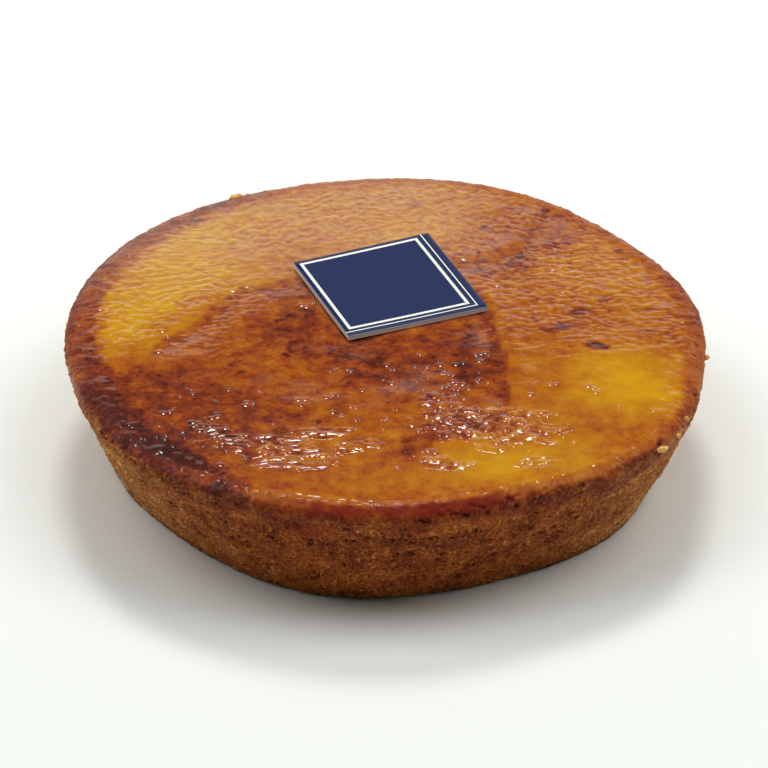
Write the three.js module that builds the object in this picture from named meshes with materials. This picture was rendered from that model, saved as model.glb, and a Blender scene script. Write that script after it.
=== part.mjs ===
// An orange tartlet: a shortcrust cup pressed by hand, baked full of orange custard whose
// caramelised top has set in creases, with a small square card lying on it.
// Millimetres, +Z up, base on z = 0, the rim centred on the Z axis. +Y is the back.
import * as THREE from 'three';

// ---- Crust: sizes ----
const RIM_RADIUS = 49; // the widest ring, at the foot of the rim's rounded shoulder
const RIM_HEIGHT = 18.6; // height of that ring
const SHOULDER_INSET = 2.5; // the crest lies this far inside the widest ring
const SHOULDER_RISE = 2; // and this far above it
const BASE_RADIUS = 41.3; // foot of the sloping wall
const BASE_EDGE = 1; // rounding of the bottom edge
const WALL_THICKNESS = 3.2; // measured level; its top is flat from the crest in to the seam
const FLOOR_THICKNESS = 3.5;
const SEAM_GAP = 0.3; // between crust and custard

// ---- Unevenness of a hand-lined ring: lobes round it, their depth, and the way one points ----
const RIM_WAVES = [
  { lobes: 2, depth: 0.2, towards: -73 },
  { lobes: 3, depth: 0.17, towards: -25 },
  { lobes: 4, depth: 0.54, towards: -30 },
  { lobes: 5, depth: 0.14, towards: 11 },
  { lobes: 6, depth: 0.23, towards: 21 },
  { lobes: 7, depth: 0.33, towards: 15 },
  { lobes: 8, depth: 0.13, towards: 6 },
];
const BASE_WAVES = [
  { lobes: 1, depth: 0.17, towards: 66 },
  { lobes: 2, depth: 0.26, towards: -22 },
  { lobes: 3, depth: 0.2, towards: -50 },
  { lobes: 5, depth: 0.8, towards: -31 },
];
const HEIGHT_WAVES = [
  { lobes: 1, depth: 0.3, towards: 172 },
  { lobes: 2, depth: 0.12, towards: -77 },
];

// ---- Crags of the crumbly wall, and the slow swell of the custard's skin ----
const CRAG_DEPTH = 0.28;
const CRAG_SIZE = 7.5;
const SWELL_DEPTH = 0.1;
const SWELL_SIZE = 13;
const LUMP_WAVES = 6; // plane waves that add up to one field of lumps
const GOLDEN_ANGLE = Math.PI * (3 - Math.sqrt(5));

// ---- Custard: the baked top ----
const DOME_RISE = 0.55; // height of the middle over the rim's crest
const EDGE_DROP = 0.12; // the custard's edge sits this far under the rim's land
const SAG = { x: -4, y: -6, wide: 21, long: 17, depth: 1.2 }; // the sunken middle
// A crease is a raised lip, on the left of its course, beside a trough on the right.
const CREASES = [
  { lip: 0.5, width: 1.9, course: [[-33, -4], [-28, 2], [-24, 9], [-19, 12], [-12, 15]] },
  { lip: 0.42, width: 1.8, course: [[15, 7], [17, -3], [18, -11], [18, -20]] },
  { lip: 0.35, width: 1.8, course: [[11, 19], [17, 21], [21, 25], [25, 34]] },
  { lip: 0.25, width: 1.6, course: [[31, -5], [27, 0], [21, 3]] },
];
const CREASE_REACH = 4; // a crease fades out over this length past its ends
const CREASE_STEPS = 24;

// ---- Card ----
const CARD = { x: 0.7, y: 10.6, side: 22.9, thickness: 0.8, turn: 22.8 };
const CARD_TILT = { x: -0.5, y: 2.1 }; // degrees that it climbs towards +X and towards +Y
const CARD_CLEARANCE = 0.12; // at the one place where it touches down
const CARD_PROBES = 24; // samples along each side when it is laid on the custard

// ---- Facets ----
const DISC_CELLS = 40; // cells across the custard's top
const AROUND = 4 * DISC_CELLS; // facets round every ring
const EDGE_ROWS = 2;
const WALL_ROWS = 8;
const SHOULDER_ROWS = 4;

const radians = THREE.MathUtils.degToRad;

// The sum of a ring's waves at one angle.
function unevenness(waves, angle) {
  return waves.reduce(
    (sum, { lobes, depth, towards }) => sum + depth * Math.cos(lobes * (angle - radians(towards))),
    0,
  );
}

const rimRadius = (angle) => RIM_RADIUS + unevenness(RIM_WAVES, angle);
const baseRadius = (angle) => BASE_RADIUS + unevenness(BASE_WAVES, angle);
const rimHeight = (angle) => RIM_HEIGHT + unevenness(HEIGHT_WAVES, angle);
const crestHeight = (angle) => rimHeight(angle) + SHOULDER_RISE;

// A smooth field of lumps between about -1 and 1: plane waves whose directions turn by the
// golden angle and whose lengths lie round the given size.
function lumps(x, y, z, size) {
  let sum = 0;
  for (let wave = 0; wave < LUMP_WAVES; wave += 1) {
    const turn = wave * GOLDEN_ANGLE;
    const along = x * Math.cos(turn) + y * Math.sin(turn) + z * Math.cos(2 * turn);
    const length = size * (1 + 0.15 * Math.sin(3 * turn));
    sum += Math.sin((2 * Math.PI * along) / length + turn);
  }
  return sum / Math.sqrt(LUMP_WAVES);
}

// A crease's course as a smooth curve: stations with the place and the direction there.
function traceCrease({ lip, width, course }) {
  const curve = new THREE.SplineCurve(course.map((place) => new THREE.Vector2(...place)));
  const stations = Array.from({ length: CREASE_STEPS + 1 }, (_, step) => ({
    place: curve.getPoint(step / CREASE_STEPS),
    along: curve.getTangent(step / CREASE_STEPS),
  }));
  return { lip, width, stations };
}

const creases = CREASES.map(traceCrease);

// Height that one crease adds: lip times s exp((1 - s^2) / 2), where s is the distance to the
// left of the nearest station over the width, fading out past both ends.
function creaseHeight({ lip, width, stations }, x, y) {
  const point = new THREE.Vector2(x, y);
  const nearest = stations.reduce((best, station) =>
    station.place.distanceTo(point) < best.place.distanceTo(point) ? station : best,
  );
  const reach = point.sub(nearest.place);
  const s = nearest.along.cross(reach) / width;
  const past = nearest.along.dot(reach) / CREASE_REACH;
  return lip * s * Math.exp((1 - s * s) / 2 - past * past);
}

// Height of the custard's top: the rim's crest carried inwards, a low dome, the sunken
// middle, the creases and a slow swell that dies out at the edge.
function topHeight(x, y) {
  const angle = Math.atan2(y, x);
  const share = Math.min(Math.hypot(x, y) / (rimRadius(angle) - SHOULDER_INSET), 1);
  const carried = HEIGHT_WAVES.map((wave) => ({ ...wave, depth: wave.depth * share ** wave.lobes }));
  const level = RIM_HEIGHT + SHOULDER_RISE + unevenness(carried, angle);
  const inside = 1 - share * share;
  const sag = SAG.depth * Math.exp(-(((x - SAG.x) / SAG.wide) ** 2) - ((y - SAG.y) / SAG.long) ** 2);
  const folds = creases.reduce((sum, crease) => sum + creaseHeight(crease, x, y), 0);
  const swell = SWELL_DEPTH * lumps(x, y, 0, SWELL_SIZE) * Math.min(3 * inside, 1);
  return level + DOME_RISE * inside - sag * Math.min(3 * inside, 1) + folds + swell;
}

// One ring of points round the axis: place(angle) gives each point's radius and height.
function ring(place) {
  return Array.from({ length: AROUND }, (_, step) => {
    const angle = (2 * Math.PI * step) / AROUND;
    const [radius, height] = place(angle);
    return [radius * Math.cos(angle), radius * Math.sin(angle), height];
  });
}

// Two rows of triangles for each pair of neighbouring rings, listed from the bottom's centre
// outwards and up, so that the faces point out.
function bandFaces(lower, upper) {
  const faces = [];
  for (let step = 0; step < AROUND; step += 1) {
    const next = (step + 1) % AROUND;
    faces.push([lower[step], lower[next], upper[next]], [lower[step], upper[next], upper[step]]);
  }
  return faces;
}

// A fan that closes a ring with its centre point.
function fanFaces(loop, centre, facesUp) {
  return loop.map((corner, step) => {
    const next = loop[(step + 1) % loop.length];
    return facesUp ? [corner, next, centre] : [next, corner, centre];
  });
}

// A named mesh from points and triangles of point numbers.
function solid(name, points, faces, look) {
  const geometry = new THREE.BufferGeometry();
  geometry.setAttribute('position', new THREE.Float32BufferAttribute(points.flat(), 3));
  geometry.setIndex(faces.flat());
  geometry.computeVertexNormals();
  const mesh = new THREE.Mesh(geometry, new THREE.MeshStandardMaterial({ metalness: 0, ...look }));
  mesh.name = name;
  return mesh;
}

// The crust's rings, from the bottom edge up the outside, over the rim and down the inside.
function crustRings() {
  const places = [];
  for (let row = 0; row < EDGE_ROWS; row += 1) {
    const bend = (row / EDGE_ROWS) * (Math.PI / 2);
    places.push((angle) => [
      baseRadius(angle) - BASE_EDGE * (1 - Math.sin(bend)),
      BASE_EDGE * (1 - Math.cos(bend)),
    ]);
  }
  for (let row = 0; row < WALL_ROWS; row += 1) {
    const share = row / WALL_ROWS;
    places.push((angle) => {
      const height = BASE_EDGE + share * (rimHeight(angle) - BASE_EDGE);
      const radius = baseRadius(angle) + share * (rimRadius(angle) - baseRadius(angle));
      const crag = lumps(radius * Math.cos(angle), radius * Math.sin(angle), height, CRAG_SIZE);
      return [radius + CRAG_DEPTH * crag * Math.sin(Math.PI * share), height];
    });
  }
  for (let row = 0; row <= SHOULDER_ROWS; row += 1) {
    const bend = (row / SHOULDER_ROWS) * (Math.PI / 2);
    places.push((angle) => [
      rimRadius(angle) - SHOULDER_INSET * (1 - Math.cos(bend)),
      rimHeight(angle) + SHOULDER_RISE * Math.sin(bend),
    ]);
  }
  places.push((angle) => [rimRadius(angle) - WALL_THICKNESS, crestHeight(angle)]);
  places.push((angle) => [rimRadius(angle) - WALL_THICKNESS, rimHeight(angle)]);
  places.push((angle) => [baseRadius(angle) - WALL_THICKNESS, FLOOR_THICKNESS]);
  return places.map(ring);
}

// The shortcrust cup: its rings joined in bands, closed by a flat bottom and the inner floor.
function makeCrust() {
  const rings = crustRings();
  const points = rings.flat();
  const loops = rings.map((_, row) => rings[row].map((__, step) => row * AROUND + step));
  const faces = loops.slice(1).flatMap((loop, row) => bandFaces(loops[row], loop));
  points.push([0, 0, 0], [0, 0, FLOOR_THICKNESS]);
  faces.push(...fanFaces(loops[0], points.length - 2, false));
  faces.push(...fanFaces(loops[loops.length - 1], points.length - 1, true));
  return solid('crust', points, faces, { color: 0xa36a33, roughness: 0.8 });
}

// Square cell (a, b), each from -1 to 1, laid on the disc: rings of the square become
// circles, so the cells keep nearly one size. Returns the share of the radius and the angle.
function squareToDisc(a, b) {
  if (a === 0 && b === 0) return [0, 0];
  if (Math.abs(a) >= Math.abs(b)) {
    return [Math.abs(a), (Math.PI / 4) * (b / a) + (a < 0 ? Math.PI : 0)];
  }
  return [Math.abs(b), Math.PI / 2 - (Math.PI / 4) * (a / b) + (b < 0 ? Math.PI : 0)];
}

// The custard: a grid laid over the disc for the creased top, whose edge runs down the
// inside of the crust in rings and is closed by a flat bottom.
function makeCustard() {
  const inset = WALL_THICKNESS + SEAM_GAP;
  const points = [];
  const faces = [];
  const number = (i, j) => i * (DISC_CELLS + 1) + j;
  for (let i = 0; i <= DISC_CELLS; i += 1) {
    for (let j = 0; j <= DISC_CELLS; j += 1) {
      const [share, angle] = squareToDisc((2 * i) / DISC_CELLS - 1, (2 * j) / DISC_CELLS - 1);
      const radius = share * (rimRadius(angle) - inset);
      const [x, y] = [radius * Math.cos(angle), radius * Math.sin(angle)];
      points.push([x, y, topHeight(x, y) - (share === 1 ? EDGE_DROP : 0)]);
      if (i < DISC_CELLS && j < DISC_CELLS) {
        const cell = [number(i, j), number(i + 1, j), number(i + 1, j + 1), number(i, j + 1)];
        // Each cell is split along its diagonal that runs towards the centre.
        if ((i < DISC_CELLS / 2) !== (j < DISC_CELLS / 2)) cell.push(cell.shift());
        faces.push([cell[0], cell[1], cell[2]], [cell[0], cell[2], cell[3]]);
      }
    }
  }
  // The grid's border, counter-clockwise, in step with the rings below it.
  const border = [];
  for (let step = 0; step < DISC_CELLS; step += 1) border.push(number(DISC_CELLS, step));
  for (let step = 0; step < DISC_CELLS; step += 1) border.push(number(DISC_CELLS - step, DISC_CELLS));
  for (let step = 0; step < DISC_CELLS; step += 1) border.push(number(0, DISC_CELLS - step));
  for (let step = 0; step < DISC_CELLS; step += 1) border.push(number(step, 0));
  const eighth = DISC_CELLS / 2; // the border starts an eighth of a turn before angle 0
  const top = [...border.slice(eighth), ...border.slice(0, eighth)];

  const underside = FLOOR_THICKNESS + SEAM_GAP;
  const rings = [
    ring((angle) => [baseRadius(angle) - inset, underside]),
    ring((angle) => [rimRadius(angle) - inset, rimHeight(angle)]),
  ];
  const loops = rings.map((row) => row.map((point) => points.push(point) - 1));
  loops.push(top);
  faces.push(...bandFaces(loops[0], loops[1]), ...bandFaces(loops[1], loops[2]));
  points.push([0, 0, underside]);
  faces.push(...fanFaces(loops[0], points.length - 1, false));
  return solid('custard', points, faces, { color: 0xd08a24, roughness: 0.2 });
}

// The square card, turned and tilted, let down until one point of it touches the custard.
function makeCard() {
  const slope = [Math.tan(radians(CARD_TILT.x)), Math.tan(radians(CARD_TILT.y))];
  const turn = radians(CARD.turn);
  let rest = -Infinity;
  for (let i = 0; i <= CARD_PROBES; i += 1) {
    for (let j = 0; j <= CARD_PROBES; j += 1) {
      const [a, b] = [i, j].map((probe) => CARD.side * (probe / CARD_PROBES - 0.5));
      const x = a * Math.cos(turn) - b * Math.sin(turn);
      const y = a * Math.sin(turn) + b * Math.cos(turn);
      rest = Math.max(rest, topHeight(CARD.x + x, CARD.y + y) - slope[0] * x - slope[1] * y);
    }
  }
  const card = new THREE.Mesh(
    new THREE.BoxGeometry(CARD.side, CARD.side, CARD.thickness),
    new THREE.MeshStandardMaterial({ color: 0x1f2c5c, roughness: 0.35, metalness: 0 }),
  );
  card.name = 'label_card';
  card.rotation.z = turn;
  const tilted = new THREE.Group();
  tilted.rotation.set(radians(CARD_TILT.y), -radians(CARD_TILT.x), 0);
  tilted.position.set(CARD.x, CARD.y, rest + CARD_CLEARANCE + CARD.thickness / 2);
  tilted.add(card);
  return tilted;
}

const tartlet = new THREE.Group();
tartlet.add(makeCrust(), makeCustard(), makeCard());

export default tartlet;
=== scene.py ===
"""An orange tartlet on a white table: a hand-lined shortcrust cup, baked full of orange
custard under a syrup glaze, with a small square card lying on top.

Shapes are worked out in millimetres in the frame of the solids: +Z up, the base on z = 0,
the front facing -Y. They are turned into metres when they become meshes.
"""

import math
from itertools import product

import bpy
import numpy as np
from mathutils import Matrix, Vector


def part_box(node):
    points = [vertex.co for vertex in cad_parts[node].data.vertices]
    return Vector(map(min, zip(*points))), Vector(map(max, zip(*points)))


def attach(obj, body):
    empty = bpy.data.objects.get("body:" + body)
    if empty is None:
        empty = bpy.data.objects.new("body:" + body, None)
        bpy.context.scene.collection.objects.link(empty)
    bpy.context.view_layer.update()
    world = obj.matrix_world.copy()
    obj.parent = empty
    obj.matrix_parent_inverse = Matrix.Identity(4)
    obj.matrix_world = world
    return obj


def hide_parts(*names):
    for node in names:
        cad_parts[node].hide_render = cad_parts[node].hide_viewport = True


bl_info = {
    "name": "Orange tartlet",
    "version": (1, 0, 0),
    "blender": (4, 5, 0),
    "location": "3D View > Sidebar > Tartlet",
    "description": "Builds a glazed orange custard tartlet with a small card on it",
    "category": "Object",
}

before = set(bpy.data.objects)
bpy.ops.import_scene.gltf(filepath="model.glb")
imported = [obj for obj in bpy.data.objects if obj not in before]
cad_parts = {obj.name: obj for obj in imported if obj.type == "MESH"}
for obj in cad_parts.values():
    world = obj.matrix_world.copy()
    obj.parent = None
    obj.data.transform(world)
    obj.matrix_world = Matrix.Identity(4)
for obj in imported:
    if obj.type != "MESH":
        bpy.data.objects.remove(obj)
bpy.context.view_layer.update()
MM = 0.001

# ---- The forms that the solids have too, in millimetres and degrees. The creases, the sunken
# middle and the swell are lower here than in the solids ----
RIM_RADIUS = 49.0  # the widest ring, at the foot of the rim's rounded shoulder
RIM_HEIGHT = 18.6
SHOULDER_INSET = 2.5  # the crest lies this far inside the widest ring
SHOULDER_RISE = 2.0  # and this far above it
SHOULDER_ARC = 3.55  # length of the quarter ellipse between them
BASE_RADIUS = 41.3
BASE_EDGE = 1.0
WALL_THICKNESS = 3.2
FLOOR_THICKNESS = 3.5
SEAM_GAP = 0.3
CRAG_DEPTH = 0.28
CRAG_SIZE = 7.5
SWELL_DEPTH = 0.05  # slow swell of the skin
SWELL_SIZE = 13.0
DOME_RISE = 0.55
SAG = {  # the sunken middle
    "x": -4, "y": -6, "wide": 21, "long": 17, "depth": 0.6,
}
RIM_WAVES = (  # lobes round the ring, their depth, and the way that one points
    (2, 0.2, -73), (3, 0.17, -25), (4, 0.54, -30), (5, 0.14, 11), (6, 0.23, 21),
    (7, 0.33, 15), (8, 0.13, 6),
)
BASE_WAVES = ((1, 0.17, 66), (2, 0.26, -22), (3, 0.2, -50), (5, 0.8, -31))
HEIGHT_WAVES = ((1, 0.3, 172), (2, 0.12, -77))
CREASES = (  # height of the lip, its width, and the places that the crease runs through
    (0.10, 1.6, ((-33, -4), (-28, 2), (-24, 9), (-19, 12), (-12, 15))),
    (0.16, 1.5, ((15, 7), (17, -3), (18, -11), (18, -20))),
    (0.15, 1.6, ((11, 19), (17, 21), (21, 25), (25, 34))),
    (0.02, 1.6, ((31, -5), (27, 0), (21, 3))),
)
CREASE_REACH = 4.0  # how far a crease runs on beyond its ends
CREASE_STATIONS = 161  # points along the curve of each
NOISE_GAIN = 1.7  # brings gradient noise to about -1 to 1
CARD_SIDE = 22.9
CARD_THICKNESS = 0.8
CARD_TURN = 22.8
CARD_TILT = (-0.5, 2.1)  # degrees that it climbs towards +X and towards +Y
CARD_EDGE = 0.07  # rounding of the cut edges
CARD_BOW = 0.12  # how far the corners bend up or down
# White rules as frames: left, right, front and back distance from the edges, and width.
CARD_RULES = (((0.75, 2.25, 1.75, 0.75), 0.5), ((-5, 1.25, 0.95, -5), 0.2))

# ---- The rim. Arcs run down from the crest; below 0 they lie inside it ----
SEAM_ARC = -0.35  # where the custard's skin dips under the crumb of the rim
SKIN_END = 0.1
CRUST_START = -0.7
SEAM_DIP = 0.15  # how far the custard's skin dips there,
CRUST_DIP = 0.12  # and the crust's inside the crest
SEAM_TOP = 1.0  # the seam is upright from this far under the crest
CRUST_TOP = 0.4  # and the crust's inner face from this far
GLAZE_REACH = 2.5  # arc that the glaze runs down everywhere
GLAZE_WAVER = 0.35  # how far its edge wavers
GLAZE_LEAST = 1.2  # the shortest that it runs
GLAZE_FADE = 0.9  # half the width of the glaze's crumbling edge
GLAZE_FILL = 0.08  # how far the glaze fills the crumb
GLAZE_TONGUES = (  # places where it ran further: angle, extra length, spread in degrees
    (257, 5.2, 5.5), (246, 1.6, 6), (278, 1.5, 9), (297, 3.4, 13), (315, 3.2, 6),
)
# The baked ring of the rim: angle, the arc where it starts, its tone, how soft it starts.
RIM_RING = (
    (0, -0.6, 0.58, 1.6), (30, -1.0, 0.56, 1.6), (60, -0.6, 0.50, 1.6), (90, -0.6, 0.48, 1.6),
    (110, -1.0, 0.54, 1.8), (122, -2.6, 0.74, 1.8), (138, -2.6, 0.72, 1.8), (158, -2.4, 0.66, 1.8),
    (185, -2.6, 0.70, 1.8), (205, -3.0, 0.76, 1.6), (225, -3.0, 0.82, 1.4), (240, -2.0, 0.80, 1.2),
    (252, 1.8, 0.70, 0.8), (262, 0.9, 0.60, 0.7), (272, 0.6, 0.58, 0.7), (285, 1.1, 0.66, 0.7),
    (293, 2.3, 0.78, 0.7), (310, 2.4, 0.80, 0.7), (320, 1.6, 0.72, 0.9), (335, 0.4, 0.58, 1.2),
)
# Marks on the rim: angle, arc, half angle, half arc, tone, softness.
RIM_MARKS = (
    (243, 2.6, 4.5, 1.6, 0.92, 0.7), (249, 1.0, 3.5, 0.9, 0.48, 0.8), (256, 1.2, 4, 0.7, 0.46, 0.8),
    (236, 0.8, 6, 1.2, 0.66, 0.8), (229, -1.5, 7, 1.8, 0.90, 0.8), (262, 3.4, 4, 1.0, 0.80, 0.8),
    (287, 5.2, 4, 0.9, 0.88, 0.7), (302, 4.9, 5, 1.0, 0.86, 0.8), (317, 3.0, 4, 1.1, 0.86, 0.8),
    (212, -0.5, 5, 1.6, 0.86, 0.8), (172, -1.0, 6, 1.2, 0.60, 0.8), (350, 0.6, 8, 1.2, 0.50, 0.8),
)
THICK_RUNS = ((200, 2.9, 7, 0.9), (327, 3.2, 5, 1.1))  # angle, arc, half angle, half arc
FRONT = (244, 262, 286, 302)  # angles between which the rim in front turns smooth
RING_HOLD = 0.92  # how far the ring covers the tone under it
RED_STARTS = (0.0, 1.0)  # arcs between which the redness of thick syrup comes in
RED_ENDS = (4.4, 2.2)  # and, read backwards, between which it goes again
RED_ROUND = 0.15  # strength of the redness all round the rim,
RED_FRONT = 0.62  # and how much stronger it is in front
CRUMB_SHARE = (0.5, 0.15)  # how far the crumb shows on the crest, and how much more in front
SOAKED_SHARE = 0.95  # and how far it shows where the glaze sank into it
SOAKED_ARCS = (1.4, 3.2)  # between which the glaze sinks in
# Gloss that is lost on the crest, below it round the rim, and below it in front.
GLOSS_LOST = (0.5, 0.4, 0.47)
# Noise along the rim, in layers: size of its features, height, seed.
GLAZE_RAG = ((1.8, 0.75, 43), (0.8, 0.525, 44))
RIM_WAVER = ((2.2, 1.0, 52), (0.9, 0.6, 53))
CRUMBLY_WAVER = ((3.0, 0.9, 23),)
DULL_STRETCHES = ((2.6, 1.0, 46),)
# The ridge, the groove and the fine waver along the crest in front: arc, half width.
CREST_LINES = ((-0.8, 0.7), (-3.2, 1.4), (-0.2, 0.8))

# ---- Browning of the custard's skin: 0 pale golden, 0.45 orange, 0.7 red-brown, 1 burnt ----
BARE_TONE = 0.47
WANDER = (1.8, 0.5, 6.0)  # how far edges wander over the size, how far over 1 mm, the size
FLECK_LENGTH = 3  # shorter patches keep their place and shape better:
FLECK_STRAY = 0.25  # their edges wander only this share
CREASE_TONE_HOLD = 0.75  # how far the tones beside a crease cover what lies under them
CREASE_TONE_END = 3.0  # how far the tones beside a crease reach beyond its ends
SPECK_TONE = 0.24  # how much darker the middle of a speck is
SPECK_STRETCH = 1.3  # how much wider than long it is
MOTTLE_TONE = 0.12  # depth of the mottling
RIPPLE_TONE = 0.22  # and of the darker hollows between ripples
RIPPLES_START = (-16, 8)  # Y between which the ripples begin
CALM_MIDDLE = (-3, -3, 19, 17)  # sunken and nearly without ripples: x, y, half widths
# Each patch: x, y, half length, half width, turn of the length, tone, softness of its edge.
BROWNING = (
    (-33, 12, 27, 10.5, 62, 0.13, 0.65),
    (-34, 2, 9, 6, 60, 0.05, 0.6),
    (-27, 26, 12, 7, 50, 0.10, 0.7),
    (-9, 30, 16, 10, 10, 0.28, 0.6),
    (-14, 24, 9, 5, 15, 0.37, 0.7),
    (6, 38, 22, 8, 0, 0.31, 0.6),
    (5, 29, 6, 4, 0, 0.22, 0.7),
    (26, 32, 12, 9, -20, 0.52, 0.7),
    (25, 25, 6, 4, 50, 0.66, 0.7),
    (34, 14, 11, 13, 0, 0.37, 0.6),
    (35, 18, 6, 8, 0, 0.36, 0.6),
    (34, -14, 11, 9, -35, 0.16, 0.75),
    (36, -16, 6, 5, -40, 0.03, 0.8),
    (24, -9, 5, 9, 0, 0.38, 0.6),
    (26, 2, 8, 7, 0, 0.47, 0.7),
    (17, -35, 13, 6.5, 8, 0.18, 0.75),
    (14, -36, 7, 3.5, 5, 0.07, 0.8),
    (-1, -38, 9, 5, 0, 0.40, 0.7),
    (-16, -9, 19, 16, -20, 0.53, 0.35),
    (-26, 2, 5, 8, -30, 0.50, 0.8),
    (6, -9, 9, 10, 0, 0.63, 0.6),
    (13.5, -9, 3.5, 12, 4, 0.70, 0.8),
    (9, -25, 11, 7, -10, 0.52, 0.8),
    (21, -24, 5, 5, 0, 0.36, 0.8),
    (-22, -27, 18, 9, -30, 0.63, 0.5),
    (-7, -34, 14, 5, -4, 0.43, 0.6),
    (-31, -21, 12, 8, -50, 0.66, 0.7),
    (-36, -29, 17, 3.2, -47, 0.80, 0.8),
    (-31, -33.5, 6, 2.2, -47, 0.90, 0.9),
    (17, 18.5, 6, 3, 30, 0.64, 0.9),
    (-14, 12, 4.5, 4, 60, 0.70, 0.8),
    (-6, -7, 5, 3.5, 0, 0.68, 0.8),
    (4, -33, 6.5, 1.6, 47, 0.66, 0.9),
    (-14, 0, 6, 4, 0, 0.68, 0.9),
    (0, -13, 6, 5, 10, 0.68, 0.8),
    (31.5, -5.5, 1.7, 1.1, -20, 0.93, 0.6),
    (26.5, -0.4, 2.3, 1.2, 10, 0.78, 0.9),
    (29.5, 4.5, 1.6, 1.0, 60, 0.76, 0.9),
    (33.5, 8, 1.0, 0.9, 0, 0.76, 0.9),
    (37, 23.5, 0.8, 0.6, 0, 1.0, 0.6),
    (25.5, 36.5, 1.2, 0.8, 60, 1.0, 0.6),
    (16, 31, 0.5, 0.4, 0, 0.85, 0.7),
    (5, 38, 1.4, 1.0, 0, 0.60, 0.8),
)
# Tones beside the creases: number of the crease, left of it, right of it, how far they reach.
CREASE_TONES = ((0, 0.22, 0.56, 4.5), (1, 0.44, 0.68, 2.6), (2, 0.46, 0.58, 2.2))
SPECKS = (  # small dark specks: x, y, radius
    (-17, 2, 0.9), (-15, 2.4, 0.8), (-13, -6, 1.1), (-12, 4, 0.7), (-14, -7.5, 0.7),
    (-5, -8.5, 0.8), (-5, -17, 0.7), (-8, -7, 0.5), (-15, -29.5, 0.8), (-21, -13, 0.6),
    (7, -14, 0.5), (-9, -27, 0.6), (-24, -8, 0.5), (23, 8, 0.5), (27, 12, 0.5),
)

# ---- Froth, bubbles and crumbs ----
FROTH_BOX = (3, 27, -41, -3)  # left, right, front, back
# Soft patches of froth or wrinkles: x, y, half length, half width, turn, strength.
FROTH = (
    (15, -27.5, 9.5, 4.5, -8, 1.0), (8, -37, 3.5, 1.6, -10, 0.9), (21, -36.5, 3.2, 1.2, 12, 0.9),
    (8, -21, 3, 2.5, 0, 0.7), (15.5, -33, 3, 1.2, 0, 0.6),
)
WRINKLE_BOX = (-31, 2, -41, -24)
WRINKLES = (
    (-17, -33, 9.5, 2.8, -14, 1.0), (-9, -29.5, 4, 1.4, 5, 1.0), (-13, -37.5, 6, 1.3, -4, 0.8),
    (-4, -33, 4, 1.5, 10, 0.7), (-24, -29, 4, 1.3, -20, 0.8),
)
FROTH_MARGIN = 1.0  # the sheets stay this far inside the crest,
FROTH_LIFT = 0.02  # this far above the skin in the patches
FROTH_SINK = 0.14  # and this much lower outside them
FROTH_SKIRT = 0.5  # depth of the border that closes them under the skin,
FROTH_KEEL = 1.0  # and of the point where it ends
BUBBLE_SEED = 4
BUBBLE_MARGIN = 0.5  # bubbles stay this far inside the crest
BUBBLE_SIZE = (0.24, 0.4)  # least radius, and how much more the largest has
BUBBLE_STEP = (1.7, 1.2)  # radii from one bubble of a chain to the next, in X and in Y
BUBBLE_TURN = 0.7  # spread of the chain's turns, in radians
BUBBLE_GROWTH = (0.7, 0.45)  # least size of the next bubble, and how much more it may be
BUBBLE_SHADE = (0.2, 0.04)  # how much darker the foot of a bubble is, and its top
BUBBLE_FACETS = 10
# A bubble of radius 1: radius and height of its rings, then the heights of its two ends.
BUBBLE_RINGS = ((1.2, -0.08), (1.0, 0.0), (0.74, 0.09), (0.4, 0.155))
BUBBLE_TOP, BUBBLE_BOTTOM = 0.18, -0.25
BUBBLE_ZONES = (  # x, y, half length, half width, turn, how many chains
    (0, -20, 13, 10, 0, 30), (-22, -25, 14, 8, -35, 22), (-37, -25, 12, 3, -50, 6),
    (10, -12, 7, 7, 0, 34), (25, -22, 7, 8, 0, 8), (-36, -3, 8, 6, 60, 6), (35, -18, 7, 7, 0, 3),
    (0, -36, 14, 3, 0, 18), (-26, -34, 9, 3, -45, 7), (-12, 6, 1.5, 1, 0, 2),
)
CRUMBS = (  # x, y, z, half length, half width, half height, turn, toast
    (39.2, -31.3, 19.3, 1.0, 0.5, 0.45, 20, 0.0),
    (43.3, -24.0, 19.7, 0.5, 0.4, 0.35, 70, 0.25),
    (41.9, -27.6, 19.2, 0.45, 0.3, 0.3, 40, 0.05),
    (-24.3, 40.9, 20.8, 1.2, 0.6, 0.45, 25, 0.1),
    (48.0, -5.4, 18.6, 0.6, 0.5, 0.4, 10, 0.3),
)
CRUMB_FACETS, CRUMB_ROWS = 12, 7  # facets round a crumb, and its rings between the two ends
CRUMB_LUMPS = (1.6, 0.35)  # lumps across a crumb, and their height as a share of its radius

# ---- The crust's mesh ----
CRUMB_SINK = 0.28  # depth of the crumb's mean level under the solid's face
BOTTOM_RINGS = (0.25, 0.5, 0.75, 0.9)  # shares of the foot's radius
BOTTOM_TOAST = 0.2  # how much darker the bottom edge baked
EDGE_RINGS = 4  # rings of facets round the bottom edge
HIDDEN_LOOK = 0.4  # every number of the two points that close the cup
FACET_SQUEEZE = 0.35  # how much narrower the crust's facets are in front than at the back
RIM_ROWS = 20  # rows of facets on the rim's shoulder and inside the crest

# ---- Helpers ----
def srgb(code):
    """Linear red, green and blue of an sRGB hex code such as "#c8781f"."""
    parts = [int(code[place : place + 2], 16) / 255 for place in (1, 3, 5)]
    return tuple(p / 12.92 if p <= 0.04045 else ((p + 0.055) / 1.055) ** 2.4 for p in parts)


def smooth_step(low, high, value):
    """0 below low, 1 above high, and 3t^2 - 2t^3 of the share t between them."""
    share = np.clip((value - low) / (high - low), 0, 1)
    return share * share * (3 - 2 * share)


def shuffled(seed):
    """The numbers 0 to 255 in a random order, twice over, and the draw that made them."""
    draw = np.random.default_rng(seed)
    order = draw.permutation(256)
    return np.concatenate([order, order]), draw


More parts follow.
